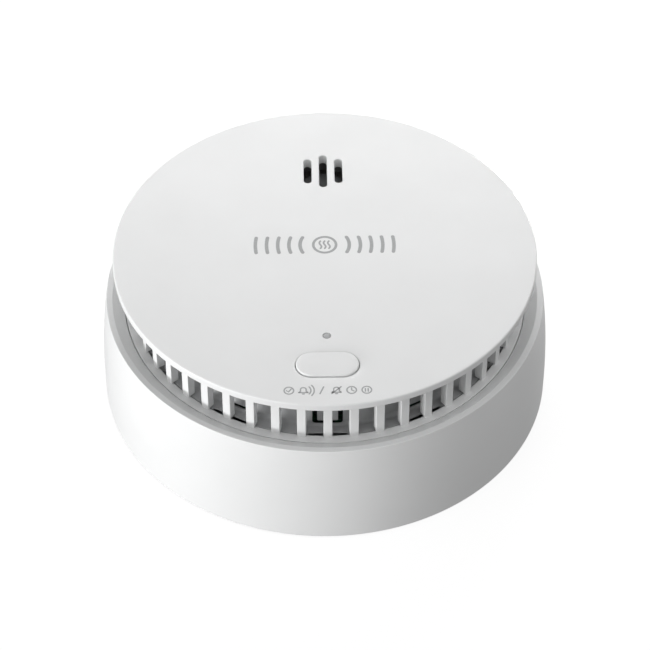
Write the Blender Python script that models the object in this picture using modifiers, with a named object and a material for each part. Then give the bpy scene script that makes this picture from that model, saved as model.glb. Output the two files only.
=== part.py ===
"""A round smoke detector, built as an assembly of separate named parts.

Sizes are in millimetres, and each mesh is scaled to metres as it is made.
The origin is the centre of the bracket's back face, which lies on the ceiling.
+Z points out of the front face, and the test button is on the -Y side.
"""

import math

import bmesh
import bpy
from mathutils import Matrix, Vector

MM = 0.001
GAP = 0.3
ROUND_SIDES = 48
MIDDLE_SIDES = 36
SMALL_SIDES = 12
SHARP_ANGLE = math.radians(35)

# The side wall of the rear housing: straight at the back, drawn in towards the rim.
BODY_RADIUS = 51.0
WALL = 2.0
WALL_BACK = 0.3
WALL_STRAIGHT_TO = 3.0
WALL_TOP = 25.1
WALL_DRAW_IN = 1.43
WALL_CURVE_POWER = 2.2
WALL_STEPS = 4
BACK_PLATE = (4.0, 5.6)

# The rim, and the channel that slopes from it down to the gap round the front cover.
RIM_INNER = (48.0, 26.0)
RIM_CROWN = (49.2, 26.15)
RIM_OUTER = (49.4, 25.95)
CHANNEL_FOOT = (45.18, 24.39)
CHANNEL_THICKNESS = 1.8

# The front cover: a flat disc carried on upright ribs above a sill.
DISC_RADIUS = 47.3
DISC_TOP = 38.4
DISC_THICKNESS = 1.8
DISC_BOTTOM = DISC_TOP - DISC_THICKNESS
DISC_TOP_ROUND = 0.35
DISC_BOTTOM_ROUND = 0.25
VENT_COUNT = 48
RIB_WIDTH = 1.9
RIB_OUTER = 43.6
RIB_INNER = 41.6
SILL_INNER = (43.0, 24.3)
LEDGE_OUTER = (44.9, 24.5)
SKIRT_BOTTOM = 18.0

# Openings in the front face. The sounder slots stand side by side, long from front to back.
SLOT_CENTRE_Y = 26.6
SLOT_PITCH = 3.55
SLOT_WIDTH = 2.0
SLOT_LENGTHS = (8.4, 11.1, 8.4)
SLOT_PAD_RADIUS = 8.2
SLOT_PAD_DEPTH = 0.6
LIGHT_Y = -26.7
LIGHT_RADIUS = 0.85
BUTTON_Y = -35.3
BUTTON_LENGTH = 13.5
BUTTON_WIDTH = 6.9
BUTTON_TOP = DISC_TOP + 0.35

# The bracket and the bayonet that holds the housing to it.
BRACKET_RADIUS = 47.6
BRACKET_HOLE = 35.0
BRACKET_TOP = 3.4
BRACKET_PLATE = 1.6
BRACKET_STEP = 44.2
LUG_COUNT = 3
LUG_FIRST_ANGLE = 90.0
LUG_INNER = 45.1
LUG_WIDTH = 11.0
LUG_HEIGHTS = (0.7, 1.6)
RIM_UNDERSIDE = 1.9
UNLOCK_TURN = 15.0
STOP_ANGLE = 9.5
SCREW_SLOT_RADIUS = 39.6
SCREW_SLOT = (12.0, 4.4)

# The battery bay in the rear housing, and its door.
BAY_INSIDE = Vector((30.0, 58.0, 20.9))
BAY_WALL = 1.4
BAY_TOP = 22.1
DOOR_HALF_WIDTH = 15.3
DOOR_BACK = BACK_PLATE[0]
DOOR_TOP = 5.4
DOOR_HINGE_Y = 26.9
DOOR_HINGE_Z = 5.6
DOOR_PIN_RADIUS = 0.6
HINGE_BLOCK_X = 17.2
HINGE_BLOCK_HALF = 1.2
CELL_RADIUS = 7.1
CELL_LENGTH = 50.5
CELL_X = 7.4
CELL_Z = 13.6
CELL_NUB_Y = 28.0
TAB_SLOT_X = (-8.7, -6.1)
TAB_SLOT_Y = (28.1, 28.95)
TAIL_HOLE = (CELL_X + 5.0, 28.2)
TAIL_HOLE_RADIUS = 0.7

# The circuit board and the ring that holds its edge.
BOARD_RADIUS = 37.9
BOARD_HEIGHTS = (22.4, 24.0)
ON_BOARD = BOARD_HEIGHTS[1] + GAP
RING_INNER = 38.3
RING_OUTER = 39.4
RING_TOP = 29.2
RING_FLANGE = SILL_INNER[0] - GAP
RING_FLANGE_HEIGHTS = (23.0, 24.1)
RING_NOTCH_DEPTH = 0.6
RING_NOTCH_HALF = 4.2
TONGUE_COUNT = 12
TONGUE_SLOT_HALF = 3.3
TONGUE_SLOT_CHAMFER = 0.65
TONGUE_HALF = 2.25
TONGUE_HEIGHTS = (24.5, 25.2, 28.4)
BOARD_SCREWS = ((28.0, 14.0), (-28.0, 14.0), (-24.0, -22.0), (24.0, -22.0))
BOARD_SCREW_LENGTH = 9.0
BOARD_POST_RADIUS = 2.4
BOARD_POST_HOLE = 1.25
BOARD_HOLE = 1.4
RING_POST_AT = 41.1
RING_POST_RADIUS = 1.2
RING_POST_ANGLES = (90.0, 210.0, 330.0)

# Screws that join the rear housing to the front cover.
CASE_SCREW_RADIUS = 42.3
CASE_SCREW_ANGLES = (30.0, 150.0, 270.0)
CASE_SCREW_SEAT = 7.5
CASE_SCREW_LENGTH = 12.0
CASE_BOSS_RADIUS = 3.7
CASE_BOSS_TOP = CASE_SCREW_SEAT + 2.6
CASE_HOLE_RADIUS = 1.55
CASE_HEAD_HOLE = 2.75
COVER_BOSS_RADIUS = 2.7
COVER_BOSS_BOTTOM = CASE_BOSS_TOP + GAP
COVER_BOSS_TOP = 20.8
COVER_BOSS_HOLE = 1.5

# The horn, under the sounder slots.
HORN_Y = 25.6
HORN_RADIUS = 11.5
HORN_WALL = 1.0
HORN_HEIGHTS = (ON_BOARD, 31.0)
PIEZO_RADIUS = 10.1
PIEZO_HEIGHTS = (30.5, 30.9)
CERAMIC_RADIUS = 7.0
HORN_CAP_HEIGHTS = (31.3, 35.0)
HORN_MOUTH = 9.4
HORN_PLUG_RADIUS = 6.2
HORN_PLUG_HEIGHTS = (32.0, 33.0)
HORN_SPOKES = (30.0, 150.0, 270.0)
HORN_SPOKE_WIDTH = 1.6
GASKET_RADII = (8.6, 11.0)
GASKET_TOP = 36.2
HORN_CONTACTS = ((-4.5, -2.0), (4.5, -2.0), (0.0, 5.0))

# The smoke chamber, in the middle of the board.
CHAMBER_Y = -5.9
CHAMBER_RADIUS = 18.6
CHAMBER_FLOOR = 25.6
CHAMBER_RIM = 26.4
CHAMBER_COVER = (34.2, 35.4)
SCREEN_RADIUS = 18.2
SCREEN_THICKNESS = 0.35
VANE_COUNT = 18
VANE_RADII = (16.4, 14.6, 12.8)
VANE_BEND = 9.0
VANE_THICKNESS = 3.2
SENSOR_HEIGHT = 29.0
SENSOR_ANGLES = {"infrared_emitter": 200.0, "photodiode": 340.0}

# The test switch and the button's return spring.
SWITCH_Y = -33.9
SWITCH_SIZE = 6.0
SWITCH_TOP = 27.6
PLUNGER_HEIGHTS = (27.0, 29.6)
PLUNGER_RADIUS = 1.6
BUTTON_FLANGE = (35.3, 36.3)
BUTTON_FLANGE_EDGE = 0.9
BUTTON_SPRING_RADIUS = 2.55
BUTTON_SPRING_TURNS = 5

WHITE = (0.86, 0.87, 0.87)

for old in list(bpy.data.objects):
    bpy.data.objects.remove(old)

PARTS = bpy.data.collections.new("smoke_detector")
CUTTERS = bpy.data.collections.new("smoke_detector_cutters")
for collection in (PARTS, CUTTERS):
    bpy.context.scene.collection.children.link(collection)


def material(name, colour, roughness=0.4, metallic=0.0):
    made = bpy.data.materials.new(name)
    made.use_nodes = True
    shader = made.node_tree.nodes["Principled BSDF"]
    shader.inputs["Base Color"].default_value = (*colour, 1.0)
    shader.inputs["Roughness"].default_value = roughness
    shader.inputs["Metallic"].default_value = metallic
    return made


def arc(centre, radius, first, last, steps):
    """Points along an arc, between two angles in degrees."""
    angles = [math.radians(first + (last - first) * k / steps) for k in range(steps + 1)]
    return [(centre[0] + radius * math.cos(a), centre[1] + radius * math.sin(a)) for a in angles]


def pill(length, width, grow=0.0, centre=(0.0, 0.0), steps=6):
    """A slot's outline with round ends, long along X."""
    radius = width / 2 + grow
    reach = (length - width) / 2
    right = arc((centre[0] + reach, centre[1]), radius, -90, 90, steps)
    left = arc((centre[0] - reach, centre[1]), radius, 90, 270, steps)
    return right + left


def ring_point(radius, degrees, height=0.0):
    angle = math.radians(degrees)
    return Vector((radius * math.cos(angle), radius * math.sin(angle), height))


def finished(shape):
    """A mesh in metres from a bmesh in millimetres, with its faces turned outwards."""
    bmesh.ops.recalc_face_normals(shape, faces=shape.faces)
    bmesh.ops.scale(shape, vec=(MM, MM, MM), verts=shape.verts)
    mesh = bpy.data.meshes.new("shape")
    shape.to_mesh(mesh)
    shape.free()
    mesh.shade_smooth()
    mesh.set_sharp_from_angle(angle=SHARP_ANGLE)
    return mesh


def read_guide(guide):
    """The evaluated mesh of a guide object, which is then removed."""
    CUTTERS.objects.link(guide)
    bpy.context.view_layer.update()
    graph = bpy.context.evaluated_depsgraph_get()
    mesh = bpy.data.meshes.new_from_object(guide.evaluated_get(graph))
    bpy.data.objects.remove(guide)
    shape = bmesh.new()
    shape.from_mesh(mesh)
    bmesh.ops.remove_doubles(shape, verts=shape.verts, dist=0.001)
    return finished(shape)


def turned(profile, sides=MIDDLE_SIDES, closed=False):
    """A profile of (radius, height) points, turned about Z. It runs down its outer side."""
    edges = [(k, k + 1) for k in range(len(profile) - 1)]
    if closed:
        edges.append((len(profile) - 1, 0))
    line = bpy.data.meshes.new("profile")
    line.from_pydata([(radius, 0, height) for radius, height in profile], edges, [])
    guide = bpy.data.objects.new("profile", line)
    screw = guide.modifiers.new("turn", "SCREW")
    screw.steps = screw.render_steps = sides
    screw.use_merge_vertices = True
    screw.merge_threshold = 0.0001
    return read_guide(guide)


def prism(outline, low, high):
    """A flat outline in the XY plane, given thickness from one height to another."""
    curve = bpy.data.curves.new("outline", "CURVE")
    curve.dimensions = "2D"
    curve.fill_mode = "BOTH"
    curve.extrude = (high - low) / 2
    spline = curve.splines.new("POLY")
    spline.points.add(len(outline) - 1)
    for point, (x, y) in zip(spline.points, outline):
        point.co = (x, y, 0, 1)
    spline.use_cyclic_u = True
    return moved(read_guide(bpy.data.objects.new("outline", curve)), (0, 0, (high + low) / 2))


def wire(route, radius, sides=1):
    """A round wire along a route of points, with flat ends."""
    curve = bpy.data.curves.new("wire", "CURVE")
    curve.dimensions = "3D"
    curve.bevel_depth = radius
    curve.bevel_resolution = sides
    curve.use_fill_caps = True
    spline = curve.splines.new("POLY")
    spline.points.add(len(route) - 1)
    for point, place in zip(spline.points, route):
        point.co = (*place, 1)
    return read_guide(bpy.data.objects.new("wire", curve))


def box(low, high):
    shape = bmesh.new()
    bmesh.ops.create_cube(shape, size=1)
    low, high = Vector(low), Vector(high)
    bmesh.ops.scale(shape, vec=high - low, verts=shape.verts)
    bmesh.ops.translate(shape, vec=(high + low) / 2, verts=shape.verts)
    return finished(shape)


def post(radius, low, high, centre=(0.0, 0.0), sides=SMALL_SIDES):
    """An upright cylinder."""
    shape = bmesh.new()
    bmesh.ops.create_cone(
        shape, cap_ends=True, segments=sides, radius1=radius, radius2=radius, depth=high - low
    )
    bmesh.ops.translate(shape, vec=(*centre[:2], (high + low) / 2), verts=shape.verts)
    return finished(shape)


def moved(mesh, offset):
    mesh.transform(Matrix.Translation(Vector(offset) * MM))
    return mesh


def rotated(mesh, degrees, axis):
    mesh.transform(Matrix.Rotation(math.radians(degrees), 4, axis))
    return mesh


def upright(outline, low, high):
    """An outline in the XZ plane, given thickness from low to high towards -Y."""
    return rotated(prism(outline, low, high), 90, "X")


def merged(meshes):
    """Several closed meshes that don't touch, as one."""
    shape = bmesh.new()
    for mesh in meshes:
        shape.from_mesh(mesh)
    whole = bpy.data.meshes.new("shape")
    shape.to_mesh(whole)
    shape.free()
    return whole


def around(mesh, angles):
    """Copies of a mesh, turned about Z by each angle."""
    return merged([rotated(mesh.copy(), angle, "Z") for angle in angles])


def even_angles(count, first=0.0):
    return [first + 360 * k / count for k in range(count)]


def part(name, mesh, finish, pivot, join=(), cut=()):
    """A named object that takes Boolean unions and cuts, and hangs on its body's empty."""
    obj = bpy.data.objects.new(name, mesh)
    mesh.name = name
    obj.data.materials.clear()
    obj.data.materials.append(finish)
    PARTS.objects.link(obj)
    for operation, shapes in (("UNION", join), ("DIFFERENCE", cut)):
        for shape in shapes:
            cutter = bpy.data.objects.new(f"{name}_{operation.lower()}", shape)
            CUTTERS.objects.link(cutter)
            cutter.hide_render = True
            cutter.display_type = "WIRE"
            boolean = obj.modifiers.new(operation.lower(), "BOOLEAN")
            boolean.operation = operation
            boolean.solver = "EXACT"
            boolean.object = cutter
    place = pivot.location
    mesh.transform(Matrix.Translation(-place))
    obj.parent = pivot
    return obj


def pivot_at(name, place):
    pivot = bpy.data.objects.new(name, None)
    pivot.location = Vector(place) * MM
    pivot.empty_display_size = 0.01
    PARTS.objects.link(pivot)
    return pivot


def screw_mesh(head_radius, head_height, shank_radius, length):
    """A pan head screw pointing down, with its head's seat at the origin."""
    profile = [
        (0, head_height),
        (head_radius * 0.7, head_height),
        (head_radius, head_height * 0.55),
        (head_radius, 0),
        (shank_radius, 0),
        (shank_radius, shank_radius - length),
        (0, -length),
    ]
    return turned(profile, SMALL_SIDES)


def lens_package(radius, length):
    """A round-nosed diode package along +Z, from its base at the origin."""
    nose = arc((0, length - radius), radius, 90, 0, 3)
    flange = radius + 0.2
    return turned(nose + [(radius, 0.8), (flange, 0.8), (flange, 0), (0, 0)], 12)


def wall_radius(height):
    """The outer radius of the side wall at a height."""
    share = max(0.0, height - WALL_STRAIGHT_TO) / (WALL_TOP - WALL_STRAIGHT_TO)
    return BODY_RADIUS - WALL_DRAW_IN * share**WALL_CURVE_POWER


def housing_profile():
    """The rear housing's section, from the middle of its back plate round the rim and back."""
    under_rim = RIM_INNER[1] - CHANNEL_THICKNESS - 0.6
    rise = WALL_TOP - WALL_STRAIGHT_TO
    levels = [WALL_STRAIGHT_TO + rise * k / WALL_STEPS for k in range(WALL_STEPS + 1)]
    inside = [(wall_radius(level) - WALL, level) for level in levels[1:-1]]
    outside = [(wall_radius(level), level) for level in reversed(levels)]
    return (
        [(0, BACK_PLATE[1]), (BODY_RADIUS - WALL, BACK_PLATE[1])]
        + inside
        + [(wall_radius(under_rim) - WALL, under_rim)]
        + [(CHANNEL_FOOT[0], CHANNEL_FOOT[1] - CHANNEL_THICKNESS), CHANNEL_FOOT]
        + [RIM_INNER, RIM_CROWN, RIM_OUTER]
        + outside
        + [(BODY_RADIUS, WALL_BACK), (BODY_RADIUS - WALL, WALL_BACK)]
        + [(BODY_RADIUS - WALL, BACK_PLATE[0]), (0, BACK_PLATE[0])]
    )


def housing_joins():
    """The bay, posts, bosses and lugs that are moulded into the rear housing."""
    root = BACK_PLATE[0] + 1.0
    half_x = BAY_INSIDE.x / 2 + BAY_WALL
    half_y = BAY_INSIDE.y / 2 + BAY_WALL
    bay = box((-half_x, -half_y, root), (half_x, half_y, BAY_TOP))
    hinge_blocks = [
        box(
            (x - HINGE_BLOCK_HALF, DOOR_HINGE_Y - 2, root),
            (x + HINGE_BLOCK_HALF, DOOR_HINGE_Y + 2, DOOR_HINGE_Z + 2.4),
        )
        for x in (-HINGE_BLOCK_X, HINGE_BLOCK_X)
    ]
    posts = [post(BOARD_POST_RADIUS, root, BAY_TOP, place) for place in BOARD_SCREWS]
    for angle in RING_POST_ANGLES:
        place = ring_point(RING_POST_AT, angle)
        posts.append(post(RING_POST_RADIUS, root, RING_FLANGE_HEIGHTS[0] - GAP, place))
    for angle in CASE_SCREW_ANGLES:
        place = ring_point(CASE_SCREW_RADIUS, angle)
        posts.append(post(CASE_BOSS_RADIUS, root, CASE_BOSS_TOP, place))
    lug = box(
        (LUG_INNER, -LUG_WIDTH / 2, LUG_HEIGHTS[0]),
        (BODY_RADIUS - 1.2, LUG_WIDTH / 2, LUG_HEIGHTS[1]),
    )
    lugs = around(lug, even_angles(LUG_COUNT, LUG_FIRST_ANGLE))
    return [bay, merged(hinge_blocks), merged(posts), lugs]


def contact_passages(low, high):
    """The slot for the positive contact's tab and the hole for the negative spring's tail."""
    slot = box((TAB_SLOT_X[0], TAB_SLOT_Y[0], low), (TAB_SLOT_X[1], TAB_SLOT_Y[1], high))
    return merged([slot, post(TAIL_HOLE_RADIUS, low, high, TAIL_HOLE, 8)])


def housing_cuts():
    half_x, half_y = BAY_INSIDE.x / 2, BAY_INSIDE.y / 2
    below = BACK_PLATE[0] - 1
    above = BACK_PLATE[1] + 0.1
    bay = box((-half_x, -half_y, below), (half_x, half_y, BAY_INSIDE.z))
    doorway = box((-half_x - 0.6, -half_y - 0.6, below), (half_x + 0.6, half_y + 0.2, above))
    latch = box((-3.9, -half_y - 3.6, below), (3.9, -half_y - 0.3, above))
    reach = HINGE_BLOCK_X + 0.4
    hinge = rotated(post(DOOR_PIN_RADIUS + GAP, -reach, reach), 90, "Y")
    hinge = moved(hinge, (0, DOOR_HINGE_Y, DOOR_HINGE_Z))
    contact_holes = contact_passages(BAY_INSIDE.z - 1, BAY_TOP + 1)
    holes = [post(BOARD_POST_HOLE, 13.0, BAY_TOP + 1, place) for place in BOARD_SCREWS]
    seat = [
        (0, CASE_BOSS_TOP + 1),
        (CASE_HOLE_RADIUS, CASE_BOSS_TOP + 1),
        (CASE_HOLE_RADIUS, CASE_SCREW_SEAT),
        (CASE_HEAD_HOLE, CASE_SCREW_SEAT),
        (CASE_HEAD_HOLE, below),
        (0, below),
    ]
    for angle in CASE_SCREW_ANGLES:
        holes.append(moved(turned(seat, SMALL_SIDES), ring_point(CASE_SCREW_RADIUS, angle)))
    return [bay, doorway, latch, hinge, contact_holes, merged(holes)]


def cover_profiles():
    """The disc's section, and the section of the sill and the skirt below it."""
    disc = [(0, DISC_TOP)]
    disc += arc((DISC_RADIUS - DISC_TOP_ROUND, DISC_TOP - DISC_TOP_ROUND), DISC_TOP_ROUND, 90, 0, 2)
    low_centre = (DISC_RADIUS - DISC_BOTTOM_ROUND, DISC_BOTTOM + DISC_BOTTOM_ROUND)
    disc += arc(low_centre, DISC_BOTTOM_ROUND, 0, -90, 2)
    disc += [(0, DISC_BOTTOM)]
    sill = [LEDGE_OUTER, (LEDGE_OUTER[0], SKIRT_BOTTOM), (SILL_INNER[0], SKIRT_BOTTOM), SILL_INNER]
    return disc, sill


def vent_ribs():
    """Upright ribs between the sill and the disc. Each is stepped to clear the ring's flange."""
    foot = SILL_INNER[1] - 0.6
    step = SILL_INNER[1] + GAP
    top = DISC_BOTTOM + 0.4
    outline = [
        (RIB_INNER, step),
        (SILL_INNER[0] + 0.1, step),
        (SILL_INNER[0] + 0.1, foot),
        (RIB_OUTER, foot),
        (RIB_OUTER, top),
        (RIB_INNER, top),
    ]
    rib = upright(outline, -RIB_WIDTH / 2, RIB_WIDTH / 2)
    return around(rib, even_angles(VENT_COUNT))


def cover_openings():
    """The sounder slots, the button's and the light's holes, and the holes for the case screws."""
    low, high = DISC_BOTTOM - 1, DISC_TOP + 1
    openings = []
    for k, length in enumerate(SLOT_LENGTHS):
        slot = rotated(prism(pill(length, SLOT_WIDTH), low, high), 90, "Z")
        openings.append(moved(slot, ((k - 1) * SLOT_PITCH, SLOT_CENTRE_Y, 0)))
    button = pill(BUTTON_LENGTH, BUTTON_WIDTH, GAP, (0, BUTTON_Y))
    openings.append(prism(button, low, high))
    openings.append(post(LIGHT_RADIUS + 0.2, low, high, (0, LIGHT_Y)))
    for angle in CASE_SCREW_ANGLES:
        place = ring_point(CASE_SCREW_RADIUS, angle)
        depth = CASE_SCREW_SEAT + CASE_SCREW_LENGTH
        openings.append(post(COVER_BOSS_HOLE, COVER_BOSS_BOTTOM - 1, depth, place))
    return merged(openings)


def front_cover(pivot, finish):
    disc, sill = cover_profiles()
    bosses = [
        post(COVER_BOSS_RADIUS, COVER_BOSS_BOTTOM, COVER_BOSS_TOP, ring_point(CASE_SCREW_RADIUS, angle))
        for angle in CASE_SCREW_ANGLES
    ]
    pad_top = DISC_BOTTOM + 0.2
    pad = post(SLOT_PAD_RADIUS, DISC_BOTTOM - SLOT_PAD_DEPTH, pad_top, (0, HORN_Y), MIDDLE_SIDES)
    part(
        "front_cover",
        turned(disc, ROUND_SIDES),
        finish,
        pivot,
        join=[vent_ribs(), turned(sill, ROUND_SIDES, closed=True), merged(bosses + [pad])],
        cut=[cover_openings()],
    )


def mounting_bracket(pivot, finish):
    profile = [
        (BRACKET_RADIUS, BRACKET_TOP),
        (BRACKET_RADIUS, RIM_UNDERSIDE),
        (BRACKET_STEP + 0.4, RIM_UNDERSIDE),
        (BRACKET_STEP, 0),
        (BRACKET_HOLE, 0),
        (BRACKET_HOLE, BRACKET_TOP),
        (BRACKET_HOLE + 1.2, BRACKET_TOP),
        (BRACKET_HOLE + 1.4, BRACKET_PLATE),
        (BRACKET_STEP - 1.2, BRACKET_PLATE),
        (BRACKET_STEP - 0.6, BRACKET_TOP),
    ]
    lug_angles = even_angles(LUG_COUNT, LUG_FIRST_ANGLE)
    stop = box((BRACKET_STEP - 0.4, -0.8, 0.4), (BRACKET_RADIUS - 0.2, 0.8, RIM_UNDERSIDE + 0.4))
    turns = (-STOP_ANGLE, UNLOCK_TURN + STOP_ANGLE)
    stops = around(stop, [angle + turn for angle in lug_angles for turn in turns])
    notch_half = LUG_WIDTH / 2 + 1.0
    notch = box((BRACKET_STEP + 0.7, -notch_half, 1), (BRACKET_RADIUS + 1, notch_half, BRACKET_TOP + 1))
    notches = around(notch, [angle + UNLOCK_TURN for angle in lug_angles])
    slot = rotated(prism(pill(*SCREW_SLOT), -1, BRACKET_PLATE + 1), 90, "Z")
    slots = around(moved(slot, (SCREW_SLOT_RADIUS, 0, 0)), even_angles(4))
    part("mounting_bracket", turned(profile, closed=True), finish, pivot, [stops], [notches, slots])


def battery_door(pivot, finish):
    """The door, with a latch tab at one end and two ears with pins at the other."""
    free_end = -BAY_INSIDE.y / 2 - GAP
    wide_to = DOOR_HINGE_Y - 0.9
    half = DOOR_HALF_WIDTH
    panel = box((-half, free_end, DOOR_BACK), (half, wide_to, DOOR_TOP))
    heel = box((0.6 - half, wide_to - 1, DOOR_BACK), (half - 0.6, DOOR_HINGE_Y + 1.1, DOOR_TOP))
    latch = box((-3.5, free_end - 1.9, DOOR_BACK), (3.5, free_end + 1, DOOR_TOP))
    ears = []
    pins = []
    for side in (-1, 1):
        low, high = sorted((side * 13.2, side * 14.7))
        ear_low = (low, DOOR_HINGE_Y - 0.85, DOOR_TOP - 0.4)
        ears.append(box(ear_low, (high, DOOR_HINGE_Y + 0.85, DOOR_HINGE_Z + 0.8)))
        low, high = sorted((side * 14.0, side * 16.8))
        pin = rotated(post(DOOR_PIN_RADIUS, low, high, sides=12), 90, "Y")
        pins.append(moved(pin, (0, DOOR_HINGE_Y, DOOR_HINGE_Z)))
    joins = [merged([heel, latch]), merged(ears), merged(pins)]
    part("battery_door", panel, finish, pivot, join=joins)


def battery_cell(name, pivot, finish, side):
    """An AA cell lying along Y. Side -1 has its nub towards +Y, and side 1 towards -Y."""
    body = CELL_LENGTH - 1.3
    profile = [
        (0, CELL_LENGTH),
        (2.75, CELL_LENGTH),
        (2.75, body),
        (CELL_RADIUS - 0.5, body),
        (CELL_RADIUS, body - 0.5),
        (CELL_RADIUS, 0.5),
        (CELL_RADIUS - 0.5, 0),
        (0, 0),
    ]
    cell = rotated(turned(profile, 24), 90 * side, "X")
    start = side * (CELL_LENGTH - CELL_NUB_Y)
    part(name, moved(cell, (side * CELL_X, start, CELL_Z)), finish, pivot)


def cell_spring(wide_end, narrow_end, side, tail_top=None):
    """A conical contact spring along Y, with a tail up to the board where it has one."""
    turns, per_turn = 3.5, 8
    count = int(turns * per_turn)
    route = []
    for k in range(count + 1):
        share = k / count
        radius = 5.0 - 2.2 * share
        angle = 2 * math.pi * turns * share
        y = wide_end + (narrow_end - wide_end) * share
        route.append((side * CELL_X + radius * math.cos(angle), y, CELL_Z + radius * math.sin(angle)))
    if tail_top:
        x, y, _ = route[0]
        route = [(x, y, tail_top), (x, y, CELL_Z + 4)] + route
    return wire(route, 0.4)


def battery_parts(pivot, metal):
    positive = box((-11.4, 28.3, 9.5), (-3.4, 28.7, 18.0))
    tab = box((-8.4, 28.3, 17.5), (-6.4, 28.7, BOARD_HEIGHTS[1]))
    part("positive_contact", positive, metal, pivot, join=[tab])
    part("negative_spring", cell_spring(28.2, 22.9, 1, BOARD_HEIGHTS[1]), metal, pivot)
    part("bridge_contact", box((-12.4, -28.7, 9.5), (11.4, -28.3, 18.0)), metal, pivot)
    part("bridge_spring", cell_spring(-27.5, -22.9, -1), metal, pivot)


def circuit_board(pivot, finish):
    low, high = BOARD_HEIGHTS
    board = post(BOARD_RADIUS, low, high, sides=MIDDLE_SIDES)
    holes = [post(BOARD_HOLE, low - 1, high + 1, place) for place in BOARD_SCREWS]
    holes.append(contact_passages(low - 1, high + 1))
    part("circuit_board", board, finish, pivot, cut=[merged(holes)])


def retaining_ring(pivot, finish):
    """A ring clipped round the board's edge, with spring tongues cut into its low wall."""
    low, high = RING_FLANGE_HEIGHTS
    ledge = (BOARD_HEIGHTS[0] - GAP, BOARD_HEIGHTS[0] - 1.2)
    profile = [
        (RING_FLANGE, high),
        (RING_FLANGE, low),
        (RING_OUTER, low),
        (RING_OUTER, ledge[1]),
        (RING_INNER - 1.3, ledge[1]),
        (RING_INNER - 1.3, ledge[0]),
        (RING_INNER, ledge[0]),
        (RING_INNER, RING_TOP),
        (RING_OUTER, RING_TOP),
        (RING_OUTER, high),
    ]
    notch = box(
        (-RING_NOTCH_HALF, -RING_FLANGE - 1, low - 1),
        (RING_NOTCH_HALF, RING_NOTCH_DEPTH - RING_FLANGE, high + 1),
    )
    low, middle, high = TONGUE_HEIGHTS
    wide, narrow = TONGUE_SLOT_HALF, TONGUE_HALF
    corner = TONGUE_SLOT_CHAMFER
    outline = [
        (-wide, high),
        (-wide, low + corner),
        (corner - wide, low),
        (wide - corner, low),
        (wide, low + corner),
        (wide, high),
        (narrow, high),
        (narrow, middle),
        (-narrow, middle),
        (-narrow, high),
    ]
    slot = upright(outline, RING_INNER - 1, RING_OUTER + 1)
    cuts = around(merged([slot, notch]), even_angles(TONGUE_COUNT))
    part("retaining_ring", turned(profile, closed=True), finish, pivot, cut=[cuts])


def smoke_chamber(pivot, plastic, mesh_metal, lens, dark_lens):
    centre = (0, CHAMBER_Y, 0)
    base = [
        (0, CHAMBER_FLOOR),
        (CHAMBER_RADIUS - 1.6, CHAMBER_FLOOR),
        (CHAMBER_RADIUS - 1.6, CHAMBER_RIM),
        (CHAMBER_RADIUS, CHAMBER_RIM),
        (CHAMBER_RADIUS, ON_BOARD),
        (0, ON_BOARD),
    ]
    holder = box((5.5, -2.5, CHAMBER_FLOOR - 0.5), (11.3, 2.5, SENSOR_HEIGHT + 2.5))
    bore = moved(rotated(post(2.0, 4.0, 13.0), 90, "Y"), (0, 0, SENSOR_HEIGHT))
    angles = SENSOR_ANGLES.values()
    part(
        "chamber_base",
        moved(turned(base), centre),
        plastic,
        pivot,
        join=[moved(around(holder, angles), centre)],
        cut=[moved(around(bore, angles), centre)],
    )
    for (name, angle), finish in zip(SENSOR_ANGLES.items(), (lens, dark_lens)):
        sensor = moved(rotated(lens_package(1.5, 5.0), -90, "Y"), (11.2, 0, SENSOR_HEIGHT))
        part(name, moved(rotated(sensor, angle, "Z"), centre), finish, pivot)

    half = VANE_THICKNESS / 2
    sides = [(0, -half), (VANE_BEND, -half), (0, -half), (0, half), (VANE_BEND, half), (0, half)]
    radii = VANE_RADII + VANE_RADII[::-1]
    outline = [ring_point(radius, bend + edge)[:2] for radius, (bend, edge) in zip(radii, sides)]
    vane = prism(outline, CHAMBER_FLOOR + 0.4, CHAMBER_COVER[0] + 0.3)
    vanes = around(vane, even_angles(VANE_COUNT))
    cover = post(CHAMBER_RADIUS, *CHAMBER_COVER, sides=MIDDLE_SIDES)
    part("labyrinth_cover", moved(cover, centre), plastic, pivot, join=[moved(vanes, centre)])

    low, high = CHAMBER_RIM + GAP, CHAMBER_COVER[0] - GAP
    inner = SCREEN_RADIUS - SCREEN_THICKNESS
    band = [(SCREEN_RADIUS, high), (SCREEN_RADIUS, low), (inner, low), (inner, high)]
    part("insect_screen", moved(turned(band, closed=True), centre), mesh_metal, pivot)


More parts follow.
